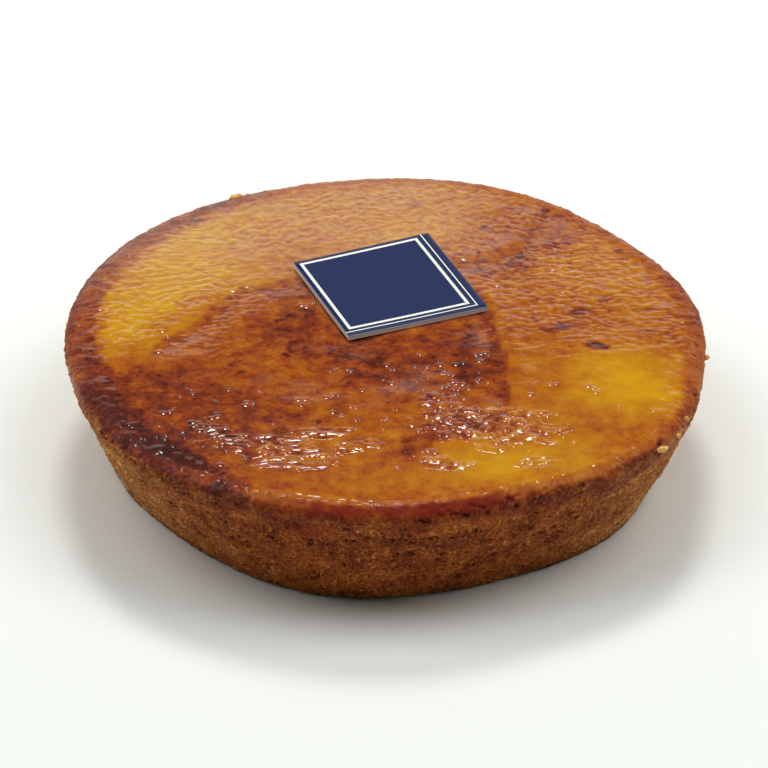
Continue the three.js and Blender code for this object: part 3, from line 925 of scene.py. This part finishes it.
def make_crust(sizes, material):
    """The shortcrust cup in one closed surface, rings from the middle of the bottom out,
    round the bottom edge, up the wall by rim_profile, over the rim to the seam and down
    the inside. The crumb's relief moves each point along the profile's normal."""
    around = sizes.crust_around
    turn = np.linspace(0, 2 * np.pi, around, endpoint=False)
    angle = turn - FACET_SQUEEZE * np.cos(turn)  # the facets are narrower in front
    foot, rim, height = base_radius(angle), rim_radius(angle), rim_height(angle)
    rings, looks = [], []

    def add_ring(points, toast=0.4, cover=0.0, tone=0.5, amber=0.0, wet=0.0):
        rings.append(points)
        looks.append(np.broadcast_arrays(toast, cover, tone, amber, wet, angle)[:-1])

    for share in BOTTOM_RINGS:
        add_ring(on_circle(share * foot, angle, 0.0))
    for bend in np.linspace(0, np.pi / 2, EDGE_RINGS, endpoint=False):
        rise = math.sin(bend)
        r = foot - BASE_EDGE * (1 - rise)
        z = np.full(around, BASE_EDGE * (1 - math.cos(bend)))
        relief, toast = crumb_relief(r * np.cos(angle), r * np.sin(angle), z, angle)
        z = z - 0.4 * relief.clip(max=0) * (1 - rise)
        add_ring(on_circle(r + relief * rise, angle, z), toast + BOTTOM_TOAST)
    wall = SHOULDER_ARC + np.hypot(rim - foot, height - BASE_EDGE)
    low_rows = sizes.crust_rows - RIM_ROWS
    on_wall = [wall + (SHOULDER_ARC - wall) * row / low_rows for row in range(low_rows)]
    on_rim = [arc + np.zeros(around) for arc in np.linspace(SHOULDER_ARC, CRUST_START, RIM_ROWS + 1)]
    for arc in on_wall + on_rim:
        r, z, out, up = extended_profile(arc, angle)
        height_share = np.clip((z - BASE_EDGE) / (height - BASE_EDGE), 0, 1)
        crag = CRAG_DEPTH * lumps(r * np.cos(angle), r * np.sin(angle), z, CRAG_SIZE)
        r = r + crag * np.sin(np.pi * height_share) * (arc > SHOULDER_ARC)
        x, y = r * np.cos(angle), r * np.sin(angle)
        lift, toast, cover = surface_lift(x, y, z, angle, arc, sizes)
        lift = lift - CRUST_DIP * np.clip((SEAM_ARC - arc) / (SEAM_ARC - CRUST_START), 0, 1)
        tone, amber = rim_look(angle, arc, browning(x, y))
        tone = tone + 0.5 * (toast - 0.45) * smooth_step(-0.4, 1.2, arc)
        # The wall is darker under the rim and lighter at the foot. In front it is darker and
        # redder, as painted shade.
        front = smooth_step(-0.5, -0.97, np.sin(angle))
        toast = toast + 0.06 * smooth_step(8, 3, arc) - 0.10 * smooth_step(0.5, 0.1, height_share)
        toast = toast + 0.10 * front
        amber = np.maximum(amber, 0.9 * front * smooth_step(2.0, 5.0, arc))
        cover = cover * (1 - 0.45 * soaked(arc))
        place = on_circle(r + out * lift, angle, z + up * lift)
        add_ring(place, toast, cover, tone, amber, wetness(angle, arc))
    add_ring(on_circle(rim - WALL_THICKNESS, angle, height + SHOULDER_RISE - CRUST_TOP))
    add_ring(on_circle(rim - WALL_THICKNESS, angle, height))
    add_ring(on_circle(foot - WALL_THICKNESS, angle, FLOOR_THICKNESS))
    loops = ring_loops(0, len(rings), around)
    count = len(rings) * around
    faces = [
        *band_faces(loops), fan_faces(loops[0], count, False), fan_faces(loops[-1], count + 1, True)
    ]
    points = np.concatenate([*rings, [[0, 0, 0], [0, 0, FLOOR_THICKNESS]]])
    numbers = {
        label: np.concatenate([*values, [HIDDEN_LOOK] * 2])
        for label, values in zip(("toast", "glaze", "browning", "amber", "wet"), zip(*looks))
    }
    return make_piece("shortcrust_cup", points, faces, material, "shortcrust", ("crust",), numbers)


def make_card(sizes, material):
    """The card: a grid over the printed face with a shallow bow, whose border is carried
    round the cut edges in rings and closed by the same grid underneath. Its middle is the
    middle of the solid's box; it is turned and tilted as the solid is."""
    cells = sizes.card_cells
    line = np.linspace(-1, 1, cells + 1)
    a, b = (grid.ravel() for grid in np.meshgrid(line, line, indexing="ij"))
    quads, border = grid_faces(cells + 1, cells + 1)
    across = CARD_SIDE / 2 * np.stack([a, b])[:, border]
    inner = (CARD_SIDE / 2 - CARD_EDGE) * np.stack([a, b])
    top = CARD_BOW * (a * b + 0.4 * a * a) + CARD_THICKNESS / 2
    layers = (  # points, height and share of bare board: face, two rings of the edge, underside
        (*inner, top, 0.0),
        (*across, top[border] - CARD_EDGE, 0.6),
        (*across, top[border] - CARD_THICKNESS + CARD_EDGE, 1.0),
        (*inner, top - CARD_THICKNESS, 1.0),
    )
    u, v, w, core = np.concatenate([np.broadcast_arrays(*layer) for layer in layers], axis=1)
    under = len(a) + 2 * len(border)
    loops = [border, *ring_loops(len(a), 2, len(border)), under + border]
    faces = [quads, under + quads[:, ::-1], *band_faces(loops[::-1])]
    climb_x, climb_y = (math.tan(math.radians(tilt)) for tilt in CARD_TILT)
    x, y = turned(u, v, -CARD_TURN)
    z = w + x * climb_x + y * climb_y
    low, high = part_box("label_card")
    points = np.stack([x, y, z], axis=1) + np.array((low + high) / 2) / MM
    numbers = {"core": core}
    piece = make_piece("square_card", points, faces, material, "coated_card", ("label_card",), numbers)
    layer = piece.data.uv_layers.new(name="print")
    corners = np.empty(len(piece.data.loops), int)
    piece.data.loops.foreach_get("vertex_index", corners)
    print_place = np.stack([u, v], axis=1) / CARD_SIDE + 0.5
    layer.data.foreach_set("uv", print_place[corners].astype(np.float32).ravel())
    flat = np.arange(len(piece.data.polygons)) < 2 * len(quads)
    piece.data.polygons.foreach_set("use_smooth", flat)
    return piece


# ---- Materials ----
CUSTARD_NAME = "caramelised custard under syrup glaze"
CRUST_NAME = "baked shortcrust, glazed at the rim"
# Scales of patterns, in cells per metre.
MOTTLES = ((420.0, 0.30), (1300.0, 0.34))  # 2.4 and 0.8 mm, each with its gain
MOTTLE_DEPTH = (1.6, 0.45)  # how the gain grows with the tone, and what it is on pale skin
PINHOLE_SCALE = 620.0  # one in 1.6 mm
PINHOLE_START = 0.35  # tone above which they show
SYRUP_SCALE = 900.0  # waves of about 1 mm in the set syrup, too low for the mesh
FLOUR_SCALE = 2300.0  # single grains of flour and sugar, 0.4 mm
HARD_BAKED_AND_SHADED = (0.74, 0.48, 0.36, 1.0)  # share of each colour that the hardest baked crumb keeps; it also paints shade on the wall in front
SATIN_STARTS = (0.0, 0.028)  # Y in metres between which the syrup turns from wet to satin
# Behind, on the left, a whitish sheen is painted into the skin's colour: a painted reflection of the
# white surroundings.
PAINTED_SHEEN_STARTS = (0.024, 0.004)  # X between which the painted sheen comes in
PAINTED_SHEEN_SHARE = 0.12


def add_node(tree, kind, settings=None, inputs=None, out=None):
    """Adds a shader node and returns it, or its output of the name or number out. Settings
    are its own values, or one word for its operation; inputs are its sockets' values or
    links, by name or in a row. The setting "stops" fills a colour ramp: places and colours."""
    node = tree.nodes.new("ShaderNode" + kind)
    if isinstance(settings, str):
        settings = {"operation": settings}
    for key, value in (settings or {}).items():
        if key == "stops":
            ramp = node.color_ramp
            while len(ramp.elements) < len(value):
                ramp.elements.new(0.5)
            for element, (place, colour) in zip(ramp.elements, value):
                element.position = place
                element.color = (*colour, 1.0)
        else:
            setattr(node, key, value)
    if isinstance(inputs, tuple):
        inputs = dict(enumerate(inputs))
    for key, value in (inputs or {}).items():
        if isinstance(value, bpy.types.NodeSocket):
            tree.links.new(value, node.inputs[key])
        else:
            node.inputs[key].default_value = value
    return node if out is None else node.outputs[out]


def new_material(name):
    """An empty node material, its tree and the places in the object's own coordinates."""
    material = bpy.data.materials.new(name)
    material.use_nodes = True
    tree = material.node_tree
    tree.nodes.clear()
    return material, tree, add_node(tree, "TexCoord", out="Object")


def numbered(tree, name):
    """The number of that name at each point of the mesh."""
    return add_node(tree, "Attribute", {"attribute_name": name}, None, "Fac")


def blended(tree, share, first, second, **settings):
    """The first colour where the share is 0, and the second where it is 1."""
    settings["data_type"] = "RGBA"
    return add_node(tree, "Mix", settings, {"Factor": share, 6: first, 7: second}, 2)


def fading(tree, value, start, end, low=0.0, high=1.0):
    """From low at the start to high at the end of a value, by 3t^2 - 2t^3 of the share."""
    spans = {"Value": value, "From Min": start, "From Max": end, "To Min": low, "To Max": high}
    return add_node(tree, "MapRange", {"interpolation_type": "SMOOTHSTEP"}, spans, "Result")


def show_surface(tree, inputs):
    """A Principled shader with these inputs as the material's surface."""
    shader = add_node(tree, "BsdfPrincipled", None, inputs, "BSDF")
    add_node(tree, "OutputMaterial", None, {"Surface": shader})


def skin_colour(tree, place, colours):
    """Colour of the custard's skin from its tone and redness, with mottles of 2.4 and 0.8 mm
    that are stronger on dark skin, and dark pinholes 0.3 to 0.6 mm wide on browned skin."""
    tone = numbered(tree, "browning")
    mixed = tone
    for scale, gain in MOTTLES:
        noise = {"Vector": place, "Scale": scale, "Detail": 4.0, "Roughness": 0.65}
        mottle = add_node(tree, "TexNoise", None, noise, "Fac")
        centred = add_node(tree, "Math", "SUBTRACT", (mottle, 0.5), 0)
        clamped = {"operation": "MULTIPLY_ADD", "use_clamp": True}
        depth = add_node(tree, "Math", clamped, (tone, *(gain * part for part in MOTTLE_DEPTH)), 0)
        mixed = add_node(tree, "Math", "MULTIPLY_ADD", (centred, depth, mixed), 0)
    cells = {"Vector": place, "Scale": PINHOLE_SCALE}
    hole = add_node(tree, "TexVoronoi", {"feature": "F1"}, cells, "Distance")
    dark = fading(tree, hole, 0.2, 0.08, 0.0, 0.5)
    clamped = {"operation": "SUBTRACT", "use_clamp": True}
    browned = add_node(tree, "Math", clamped, (tone, PINHOLE_START), 0)
    mixed = add_node(tree, "Math", "MULTIPLY_ADD", (dark, browned, mixed), 0)
    stops = (
        (0.0, colours.pale), (0.18, colours.golden), (0.45, colours.orange),
        (0.62, colours.caramel), (0.80, colours.dark), (1.0, colours.burnt),
    )
    skin = add_node(tree, "ValToRGB", {"stops": stops}, {"Fac": mixed}, "Color")
    return blended(tree, numbered(tree, "amber"), skin, (*colours.syrup, 1.0))


def syrup_look(tree, place, colours, wet_roughness, satin_roughness):
    """The skin's colour and the roughness of the syrup on it. In front the syrup is wet and
    clear; behind it dried satin, and on the left there a whitish sheen is mixed into its
    colour as a painted reflection."""
    split = add_node(tree, "SeparateXYZ", None, {"Vector": place})
    satin = fading(tree, split.outputs["Y"], *SATIN_STARTS)
    left = fading(tree, split.outputs["X"], *PAINTED_SHEEN_STARTS, 0.0, PAINTED_SHEEN_SHARE)
    # Painted sheen: a whitish colour mixed into the skin behind, on the left.
    painted_sheen = add_node(tree, "Math", "MULTIPLY", (satin, left), 0)
    colour = blended(tree, painted_sheen, skin_colour(tree, place, colours), (*colours.painted_sheen, 1.0))
    spans = (satin, satin_roughness - wet_roughness, wet_roughness)
    return colour, add_node(tree, "Math", "MULTIPLY_ADD", spans, 0)


def custard_material(colours):
    """Set egg custard, baked dark in places, under a poured sugar syrup: the syrup over the
    skin is clear, hard and very glossy."""
    material, tree, place = new_material(CUSTARD_NAME)
    noise = {"Vector": place, "Scale": SYRUP_SCALE, "Detail": 2.0, "Roughness": 0.5}
    waves = add_node(tree, "TexNoise", None, noise, "Fac")
    height = {"Strength": 0.6, "Distance": 0.00002, "Height": waves}
    bump = add_node(tree, "Bump", None, height, "Normal")
    colour, roughness = syrup_look(tree, place, colours, 0.06, 0.19)
    show_surface(tree, {
        "Base Color": colour, "Roughness": 0.55, "IOR": 1.4, "Specular IOR Level": 0.05,
        "Coat Weight": numbered(tree, "wet"), "Coat Roughness": roughness, "Coat IOR": 1.5,
        "Normal": bump, "Coat Normal": bump,
    })
    return material


def shortcrust_material(colours):
    """Shortcrust of flour, butter and sugar, pressed into a ring and baked: a dry, sandy
    crumb, golden on the raised grains and brown in the pits, redder where it baked hardest.
    The brown of the pits and cracks is painted shade, and so is the darker, redder wall in front.
    The rim has the custard's skin and the syrup glaze baked onto it."""
    material, tree, place = new_material(CRUST_NAME)
    noise = {"Vector": place, "Scale": FLOUR_SCALE, "Detail": 2.0, "Roughness": 0.6}
    speckle = add_node(tree, "TexNoise", None, noise, "Fac")
    # Most of it is even; the lowest values are dark pores, painted shade in the hollows of the bump,
    # the highest pale grains.
    stops = [(at, (grey,) * 3) for at, grey in ((0.3, 1.0), (0.43, 0.55), (0.56, 0.45), (0.7, 0.0))]
    spread = add_node(tree, "ValToRGB", {"stops": stops}, {"Fac": speckle}, "Color")
    shifted = add_node(tree, "Math", "MULTIPLY_ADD", (spread, 0.8, -0.4), 0)
    mixed = add_node(tree, "Math", "ADD", (numbered(tree, "toast"), shifted), 0)
    stops = (
        (0.0, colours.crumb_light), (0.38, colours.crumb), (0.7, colours.crumb_dark),
        (1.0, colours.pit_shade),
    )
    crumb = add_node(tree, "ValToRGB", {"stops": stops}, {"Fac": mixed}, "Color")
    amber = numbered(tree, "amber")
    # The amber share darkens the crumb where it baked hardest under the syrup, and paints shade on the
    # wall in front.
    baked = blended(tree, amber, crumb, HARD_BAKED_AND_SHADED, blend_type="MULTIPLY")
    glaze = numbered(tree, "glaze")
    skin, roughness = syrup_look(tree, place, colours, 0.08, 0.23)
    bumps = [
        add_node(tree, "Bump", None, {"Strength": high, "Distance": far, "Height": speckle}, "Normal")
        for high, far in ((0.8, 0.00012), (0.25, 0.00015))
    ]
    show_surface(tree, {
        "Base Color": blended(tree, glaze, baked, skin), "Roughness": 0.72, "IOR": 1.45,
        "Specular IOR Level": 0.12, "Coat Roughness": roughness, "Coat IOR": 1.48,
        "Coat Weight": add_node(tree, "Math", "MULTIPLY", (glaze, numbered(tree, "wet")), 0),
        "Normal": bumps[0], "Coat Normal": bumps[1],
    })
    return material


def card_material(colours):
    """Coated art card, printed in one dark ink round white rules, then cut: a smooth
    half-gloss face, and the bare white board at the cut edges."""
    material, tree, _ = new_material("coated art card, printed and cut")
    uv = add_node(tree, "UVMap", {"uv_map": "print"}, None, "UV")
    split = add_node(tree, "SeparateXYZ", None, {"Vector": uv})
    ink = numbered(tree, "core")
    for sides, width in CARD_RULES:
        # A rule is what lies inside one rectangle and not inside another, narrower one.
        left, right, front, back = (side / CARD_SIDE for side in sides)
        inside = []
        for narrower in (0.0, width / CARD_SIDE):
            depth = []
            for axis, low, high in (("X", left, 1 - right), ("Y", front, 1 - back)):
                middle, half = (low + high) / 2, (high - low) / 2 - narrower
                off = add_node(tree, "Math", "SUBTRACT", (split.outputs[axis], middle), 0)
                size = add_node(tree, "Math", "ABSOLUTE", (off,), 0)
                depth.append(add_node(tree, "Math", "SUBTRACT", (half, size), 0))
            least = add_node(tree, "Math", "MINIMUM", tuple(depth), 0)
            inside.append(add_node(tree, "Math", "GREATER_THAN", (least, 0.0), 0))
        clamped = {"operation": "SUBTRACT", "use_clamp": True}
        rule = add_node(tree, "Math", clamped, tuple(inside), 0)
        ink = add_node(tree, "Math", "MAXIMUM", (ink, rule), 0)
    colour = blended(tree, ink, (*colours.card_ink, 1.0), (*colours.card_white, 1.0))
    show_surface(
        tree, {"Base Color": colour, "Roughness": 0.4, "IOR": 1.45, "Specular IOR Level": 0.2}
    )
    return material


def paper_material(colours):
    """Matte white background paper: even, without gloss; its raised end fades to black as painted
    shade.
    """
    material, tree, _ = new_material("matte white background paper")
    light = numbered(tree, "light")
    # Painted shade: the paper's colour goes to black where its share of light falls to 0.
    colour = blended(tree, light, (0.0, 0.0, 0.0, 1.0), (*colours.paper, 1.0))
    show_surface(tree, {"Base Color": colour, "Roughness": 0.9, "Specular IOR Level": 0.0})
    return material


# ---- Properties ----
def colour_property(name, description, code):
    """A colour of the panel, given by its sRGB code."""
    return bpy.props.FloatVectorProperty(
        name=name, description=description, default=srgb(code), subtype="COLOR", size=3, min=0, max=1
    )


def length_property(name, description, default, low, high):
    """A short length of the panel, in metres."""
    return bpy.props.FloatProperty(
        name=name, description=description, default=default, min=low, max=high,
        unit="LENGTH", precision=5,
    )


def count_property(name, description, default, low, high):
    """A whole number of the panel. The highest ones keep each piece under 200,000 triangles."""
    return bpy.props.IntProperty(
        name=name, description=description, default=default, min=low, max=high
    )


class TartletSizes(bpy.types.PropertyGroup):
    """Sizes of the finer forms, which the solids leave out, and of the facets."""

    glaze_thickness: length_property(
        "Glaze thickness", "Thickness of the syrup over the skin and the rim", 0.00008, 0, 0.002
    )
    ripple_height: length_property(
        "Ripple height", "Height of the ripples in the custard's skin", 0.00013, 0, 0.001
    )
    froth_cell: length_property(
        "Froth cell", "Width of the cells of the froth on the glaze", 0.00014, 0.00012, 0.001
    )
    top_cells: count_property("Top cells", "Cells across the glazed top", 306, 40, 306)
    crust_around: count_property("Crust facets", "Facets round the crust", 1120, 80, 1120)
    crust_rows: count_property(
        "Crust rows", "Rows of facets up the crust's wall and shoulder", 76, 32, 78
    )
    card_cells: count_property("Card cells", "Cells along each side of the card", 24, 2, 60)


class TartletColours(bpy.types.PropertyGroup):
    """Colours of the tartlet, the card and the paper that it stands on."""

    pale: colour_property("Pale custard", "Custard that took no colour", "#cd930b")
    golden: colour_property("Golden custard", "Custard baked golden", "#bf7d0b")
    orange: colour_property("Orange custard", "Custard baked orange", "#a9580e")
    caramel: colour_property("Caramel", "Sugar turned to caramel", "#8b3914")
    dark: colour_property("Dark caramel", "Caramel just before it burns", "#591f15")
    burnt: colour_property("Burnt spots", "Nearly black skin", "#281510")
    syrup: colour_property("Thick syrup", "Syrup where it gathered at the rim", "#781c09")
    # Painted sheen: the whitish colour that stands in for a reflection on the satin syrup.
    painted_sheen: colour_property("Painted_sheen", "Milky veil of dried syrup", "#e2c9b4")
    crumb_light: colour_property("Light crumb", "Raised grains of the crust", "#ebb66a")
    crumb: colour_property("Crumb", "Baked crust", "#b57132")
    crumb_dark: colour_property("Dark crumb", "Well baked crust", "#814220")
    # Painted shade: the darkest crumb colour, which the pits and cracks reach.
    pit_shade: colour_property("Pits", "Holes and cracks in the crust", "#371a0f")
    card_ink: colour_property("Card ink", "Dark blue ink of the card", "#0f1f50")
    card_white: colour_property("Card white", "Bare board of the card", "#f2efe6")
    paper: colour_property("Paper", "Paper that the tartlet stands on", "#f0f0ee")


# ---- Operators ----
class TARTLET_OT_crust(bpy.types.Operator):
    """Make the shortcrust cup with its crumbly wall"""

    bl_idname = "tartlet.make_crust"
    bl_label = "Shortcrust cup"

    def execute(self, context):
        make_crust(context.scene.tartlet_sizes, shortcrust_material(context.scene.tartlet_colours))
        return {"FINISHED"}


class TARTLET_OT_top(bpy.types.Operator):
    """Make the custard with its browned skin and glaze"""

    bl_idname = "tartlet.make_top"
    bl_label = "Glazed custard"

    def execute(self, context):
        make_glazed_top(context.scene.tartlet_sizes, custard_material(context.scene.tartlet_colours))
        return {"FINISHED"}


class TARTLET_OT_froth(bpy.types.Operator):
    """Make the set froth, wrinkles and bubbles on the glaze"""

    bl_idname = "tartlet.make_froth"
    bl_label = "Froth and bubbles"

    def execute(self, context):
        sizes = context.scene.tartlet_sizes
        material = bpy.data.materials.get(CUSTARD_NAME)
        if material is None:
            self.report({"ERROR"}, "Make the glazed custard first")
            return {"CANCELLED"}
        make_froth("syrup_froth", FROTH_BOX, FROTH, froth_height, sizes, material)
        make_froth("syrup_wrinkles", WRINKLE_BOX, WRINKLES, wrinkle_height, sizes, material)
        make_bubbles(sizes, material)
        return {"FINISHED"}


class TARTLET_OT_crumbs(bpy.types.Operator):
    """Make the loose crumbs"""

    bl_idname = "tartlet.make_crumbs"
    bl_label = "Loose crumbs"

    def execute(self, context):
        material = bpy.data.materials.get(CRUST_NAME)
        if material is None:
            self.report({"ERROR"}, "Make the shortcrust cup first")
            return {"CANCELLED"}
        make_crumbs(material)
        return {"FINISHED"}


class TARTLET_OT_card(bpy.types.Operator):
    """Make the small square card"""

    bl_idname = "tartlet.make_card"
    bl_label = "Square card"

    def execute(self, context):
        make_card(context.scene.tartlet_sizes, card_material(context.scene.tartlet_colours))
        return {"FINISHED"}


class TARTLET_OT_stage(bpy.types.Operator):
    """Make the paper, the lights and the camera"""

    bl_idname = "tartlet.make_stage"
    bl_label = "Paper, lights and camera"

    def execute(self, context):
        make_paper(paper_material(context.scene.tartlet_colours))
        make_lights()
        make_camera()
        return {"FINISHED"}


class TARTLET_PT_panel(bpy.types.Panel):
    """Sizes, colours and the steps that build the tartlet"""

    bl_label = "Orange tartlet"
    bl_idname = "TARTLET_PT_panel"
    bl_space_type = "VIEW_3D"
    bl_region_type = "UI"
    bl_category = "Tartlet"

    def draw(self, context):
        layout = self.layout
        for group in (context.scene.tartlet_sizes, context.scene.tartlet_colours):
            box = layout.box()
            for name in group.__annotations__:
                box.prop(group, name)
        for step in STEPS:
            layout.operator(step.bl_idname)


STEPS = (
    TARTLET_OT_stage, TARTLET_OT_crust, TARTLET_OT_top, TARTLET_OT_froth, TARTLET_OT_crumbs,
    TARTLET_OT_card,
)
CLASSES = (TartletSizes, TartletColours, *STEPS, TARTLET_PT_panel)


# ---- Stage ----
CAMERA_TARGET = (-0.14, 0.8, 10.0)
CAMERA_DISTANCE = 420.0
CAMERA_ELEVATION = 32.27
SENSOR_WIDTH = 36.0
CAMERA_CLIP = (0.01, 10)  # nearest and farthest that it sees, in metres
CAMERA_LENS = 2742 / 768 * SENSOR_WIDTH  # mm: 2742 pixels in a picture of 768
PAPER_START = 40.0  # radius of the first ring of facets, closed by a fan
BOWL_FLAT = 420.0  # the paper lies flat to this radius,
BOWL_BEND = 260.0  # bends up with this radius
BOWL_TOP = 480.0  # ends at this height
BOWL_SHADE = (363.0, 425.0)  # and its colour darkens to black between these heights, as painted shade
PAPER_END = 1500.0  # in front it lies flat to here
PAPER_FACETS = 192  # facets round it
WALL_BEGINS = (-0.35, 0.25)  # sines of the angles between which the wall comes in
ROOM_LIGHT = 0.08  # strength of the room's own light
ROOM_SEEN = 0.95  # and the white that shows past the paper
LIGHT_COLOUR = (0.99, 1.0, 0.98)
ROOM_COLOUR = (0.62, 1.0, 0.88)
LIGHT_TARGET = (0, 0, 0.01)  # metres
LIGHTS = (  # name, place and size in metres, power in watts
    ("left soft box", (-0.60, -0.03, 0.86), (0.5, 0.6), 3.7),
    ("right soft box", (0.60, -0.03, 0.86), (0.5, 0.6), 4.0),
    ("soft box above", (0.0, -0.06, 1.06), (0.8, 0.7), 2.2),
    ("lamp behind", (0.0, 0.53, 1.03), (0.26, 0.26), 4.6),
)


def make_paper(material):
    """White paper: in front its profile stays flat to the far edge; behind, it turns up in a
    quarter circle and ends in a short upright wall. The share of the wall goes from 0 to 1
    between the two as a smooth step of the angle, and blends the two profiles."""
    around = PAPER_FACETS
    angle = np.linspace(0, 2 * np.pi, around, endpoint=False)
    bend = np.linspace(0, np.pi / 2, 25)[1:]
    wall = smooth_step(*WALL_BEGINS, np.sin(angle))
    near = [on_circle(r, angle, 0.0) for r in np.linspace(PAPER_START, BOWL_FLAT, 12)]
    upright = np.linspace(BOWL_BEND, BOWL_TOP, 10)[1:]
    radii = [*(BOWL_FLAT + BOWL_BEND * np.sin(bend)), *(BOWL_FLAT + BOWL_BEND + 0 * upright)]
    heights = [*(BOWL_BEND * (1 - np.cos(bend))), *upright]
    flats = np.linspace(BOWL_FLAT, PAPER_END, len(radii) + 1)[1:]
    far = [
        on_circle(flat + (radius - flat) * wall, angle, height * wall)
        for radius, height, flat in zip(radii, heights, flats)
    ]
    rings = near + far
    loops = ring_loops(0, len(rings), around)
    faces = [band[:, ::-1] for band in band_faces(loops)]
    faces.append(fan_faces(loops[0], len(rings) * around, True))
    points = np.concatenate([*rings, [[0, 0, 0]]])
    # Painted shade: the paper's colour fades to black up its raised end.
    light = smooth_step(BOWL_SHADE[1], BOWL_SHADE[0], points[:, 2])
    paper = make_piece("white_paper", points, faces, material, None, numbers={"light": light})


def make_lights():
    """Soft boxes left, right and above, a small lamp behind, and a room with little light of
    its own that shows white past the paper."""
    scene = bpy.context.scene
    world = bpy.data.worlds.new("dim studio")
    world.use_nodes = True
    tree = world.node_tree
    tree.nodes.clear()
    seen = add_node(tree, "LightPath", out="Is Camera Ray")
    shares = (seen, ROOM_SEEN - ROOM_LIGHT, ROOM_LIGHT)
    strength = add_node(tree, "Math", "MULTIPLY_ADD", shares, 0)
    tint = blended(tree, seen, (*ROOM_COLOUR, 1.0), (1.0, 1.0, 1.0, 1.0))
    background = add_node(tree, "Background", None, {"Color": tint, "Strength": strength}, 0)
    add_node(tree, "OutputWorld", None, {"Surface": background})
    scene.world = world
    scene.view_settings.view_transform = "Standard"
    for name, place, size, power in LIGHTS:
        light = bpy.data.lights.new(name, "AREA")
        light.shape = "RECTANGLE"
        light.size, light.size_y = size
        light.energy = power
        light.color = LIGHT_COLOUR
        lamp = bpy.data.objects.new(name, light)
        lamp.location = place
        way = Vector(LIGHT_TARGET) - Vector(place)
        lamp.rotation_euler = way.to_track_quat("-Z", "Y").to_euler()
        scene.collection.objects.link(lamp)


def make_camera():
    """The camera at the photograph's height and distance."""
    camera = bpy.data.cameras.new("camera")
    camera.sensor_width = SENSOR_WIDTH
    camera.lens = CAMERA_LENS
    camera.clip_start, camera.clip_end = CAMERA_CLIP
    holder = bpy.data.objects.new("camera", camera)
    tilt = math.radians(CAMERA_ELEVATION)
    away = CAMERA_DISTANCE * Vector((0, -math.cos(tilt), math.sin(tilt)))
    holder.location = MM * (Vector(CAMERA_TARGET) + away)
    holder.rotation_euler = (math.pi / 2 - tilt, 0, 0)
    bpy.context.scene.collection.objects.link(holder)
    bpy.context.scene.camera = holder


def register():
    """Registers the classes and hangs the two groups of properties on the scene."""
    for cls in CLASSES:
        bpy.utils.register_class(cls)
    bpy.types.Scene.tartlet_sizes = bpy.props.PointerProperty(type=TartletSizes)
    bpy.types.Scene.tartlet_colours = bpy.props.PointerProperty(type=TartletColours)


def unregister():
    """Takes the properties and classes off again."""
    del bpy.types.Scene.tartlet_colours
    del bpy.types.Scene.tartlet_sizes
    for cls in reversed(CLASSES):
        bpy.utils.unregister_class(cls)


def main():
    register()
    bpy.ops.tartlet.make_stage()
    bpy.ops.tartlet.make_crust()
    bpy.ops.tartlet.make_top()
    bpy.ops.tartlet.make_froth()
    bpy.ops.tartlet.make_crumbs()
    bpy.ops.tartlet.make_card()


if __name__ == "__main__":
    main()
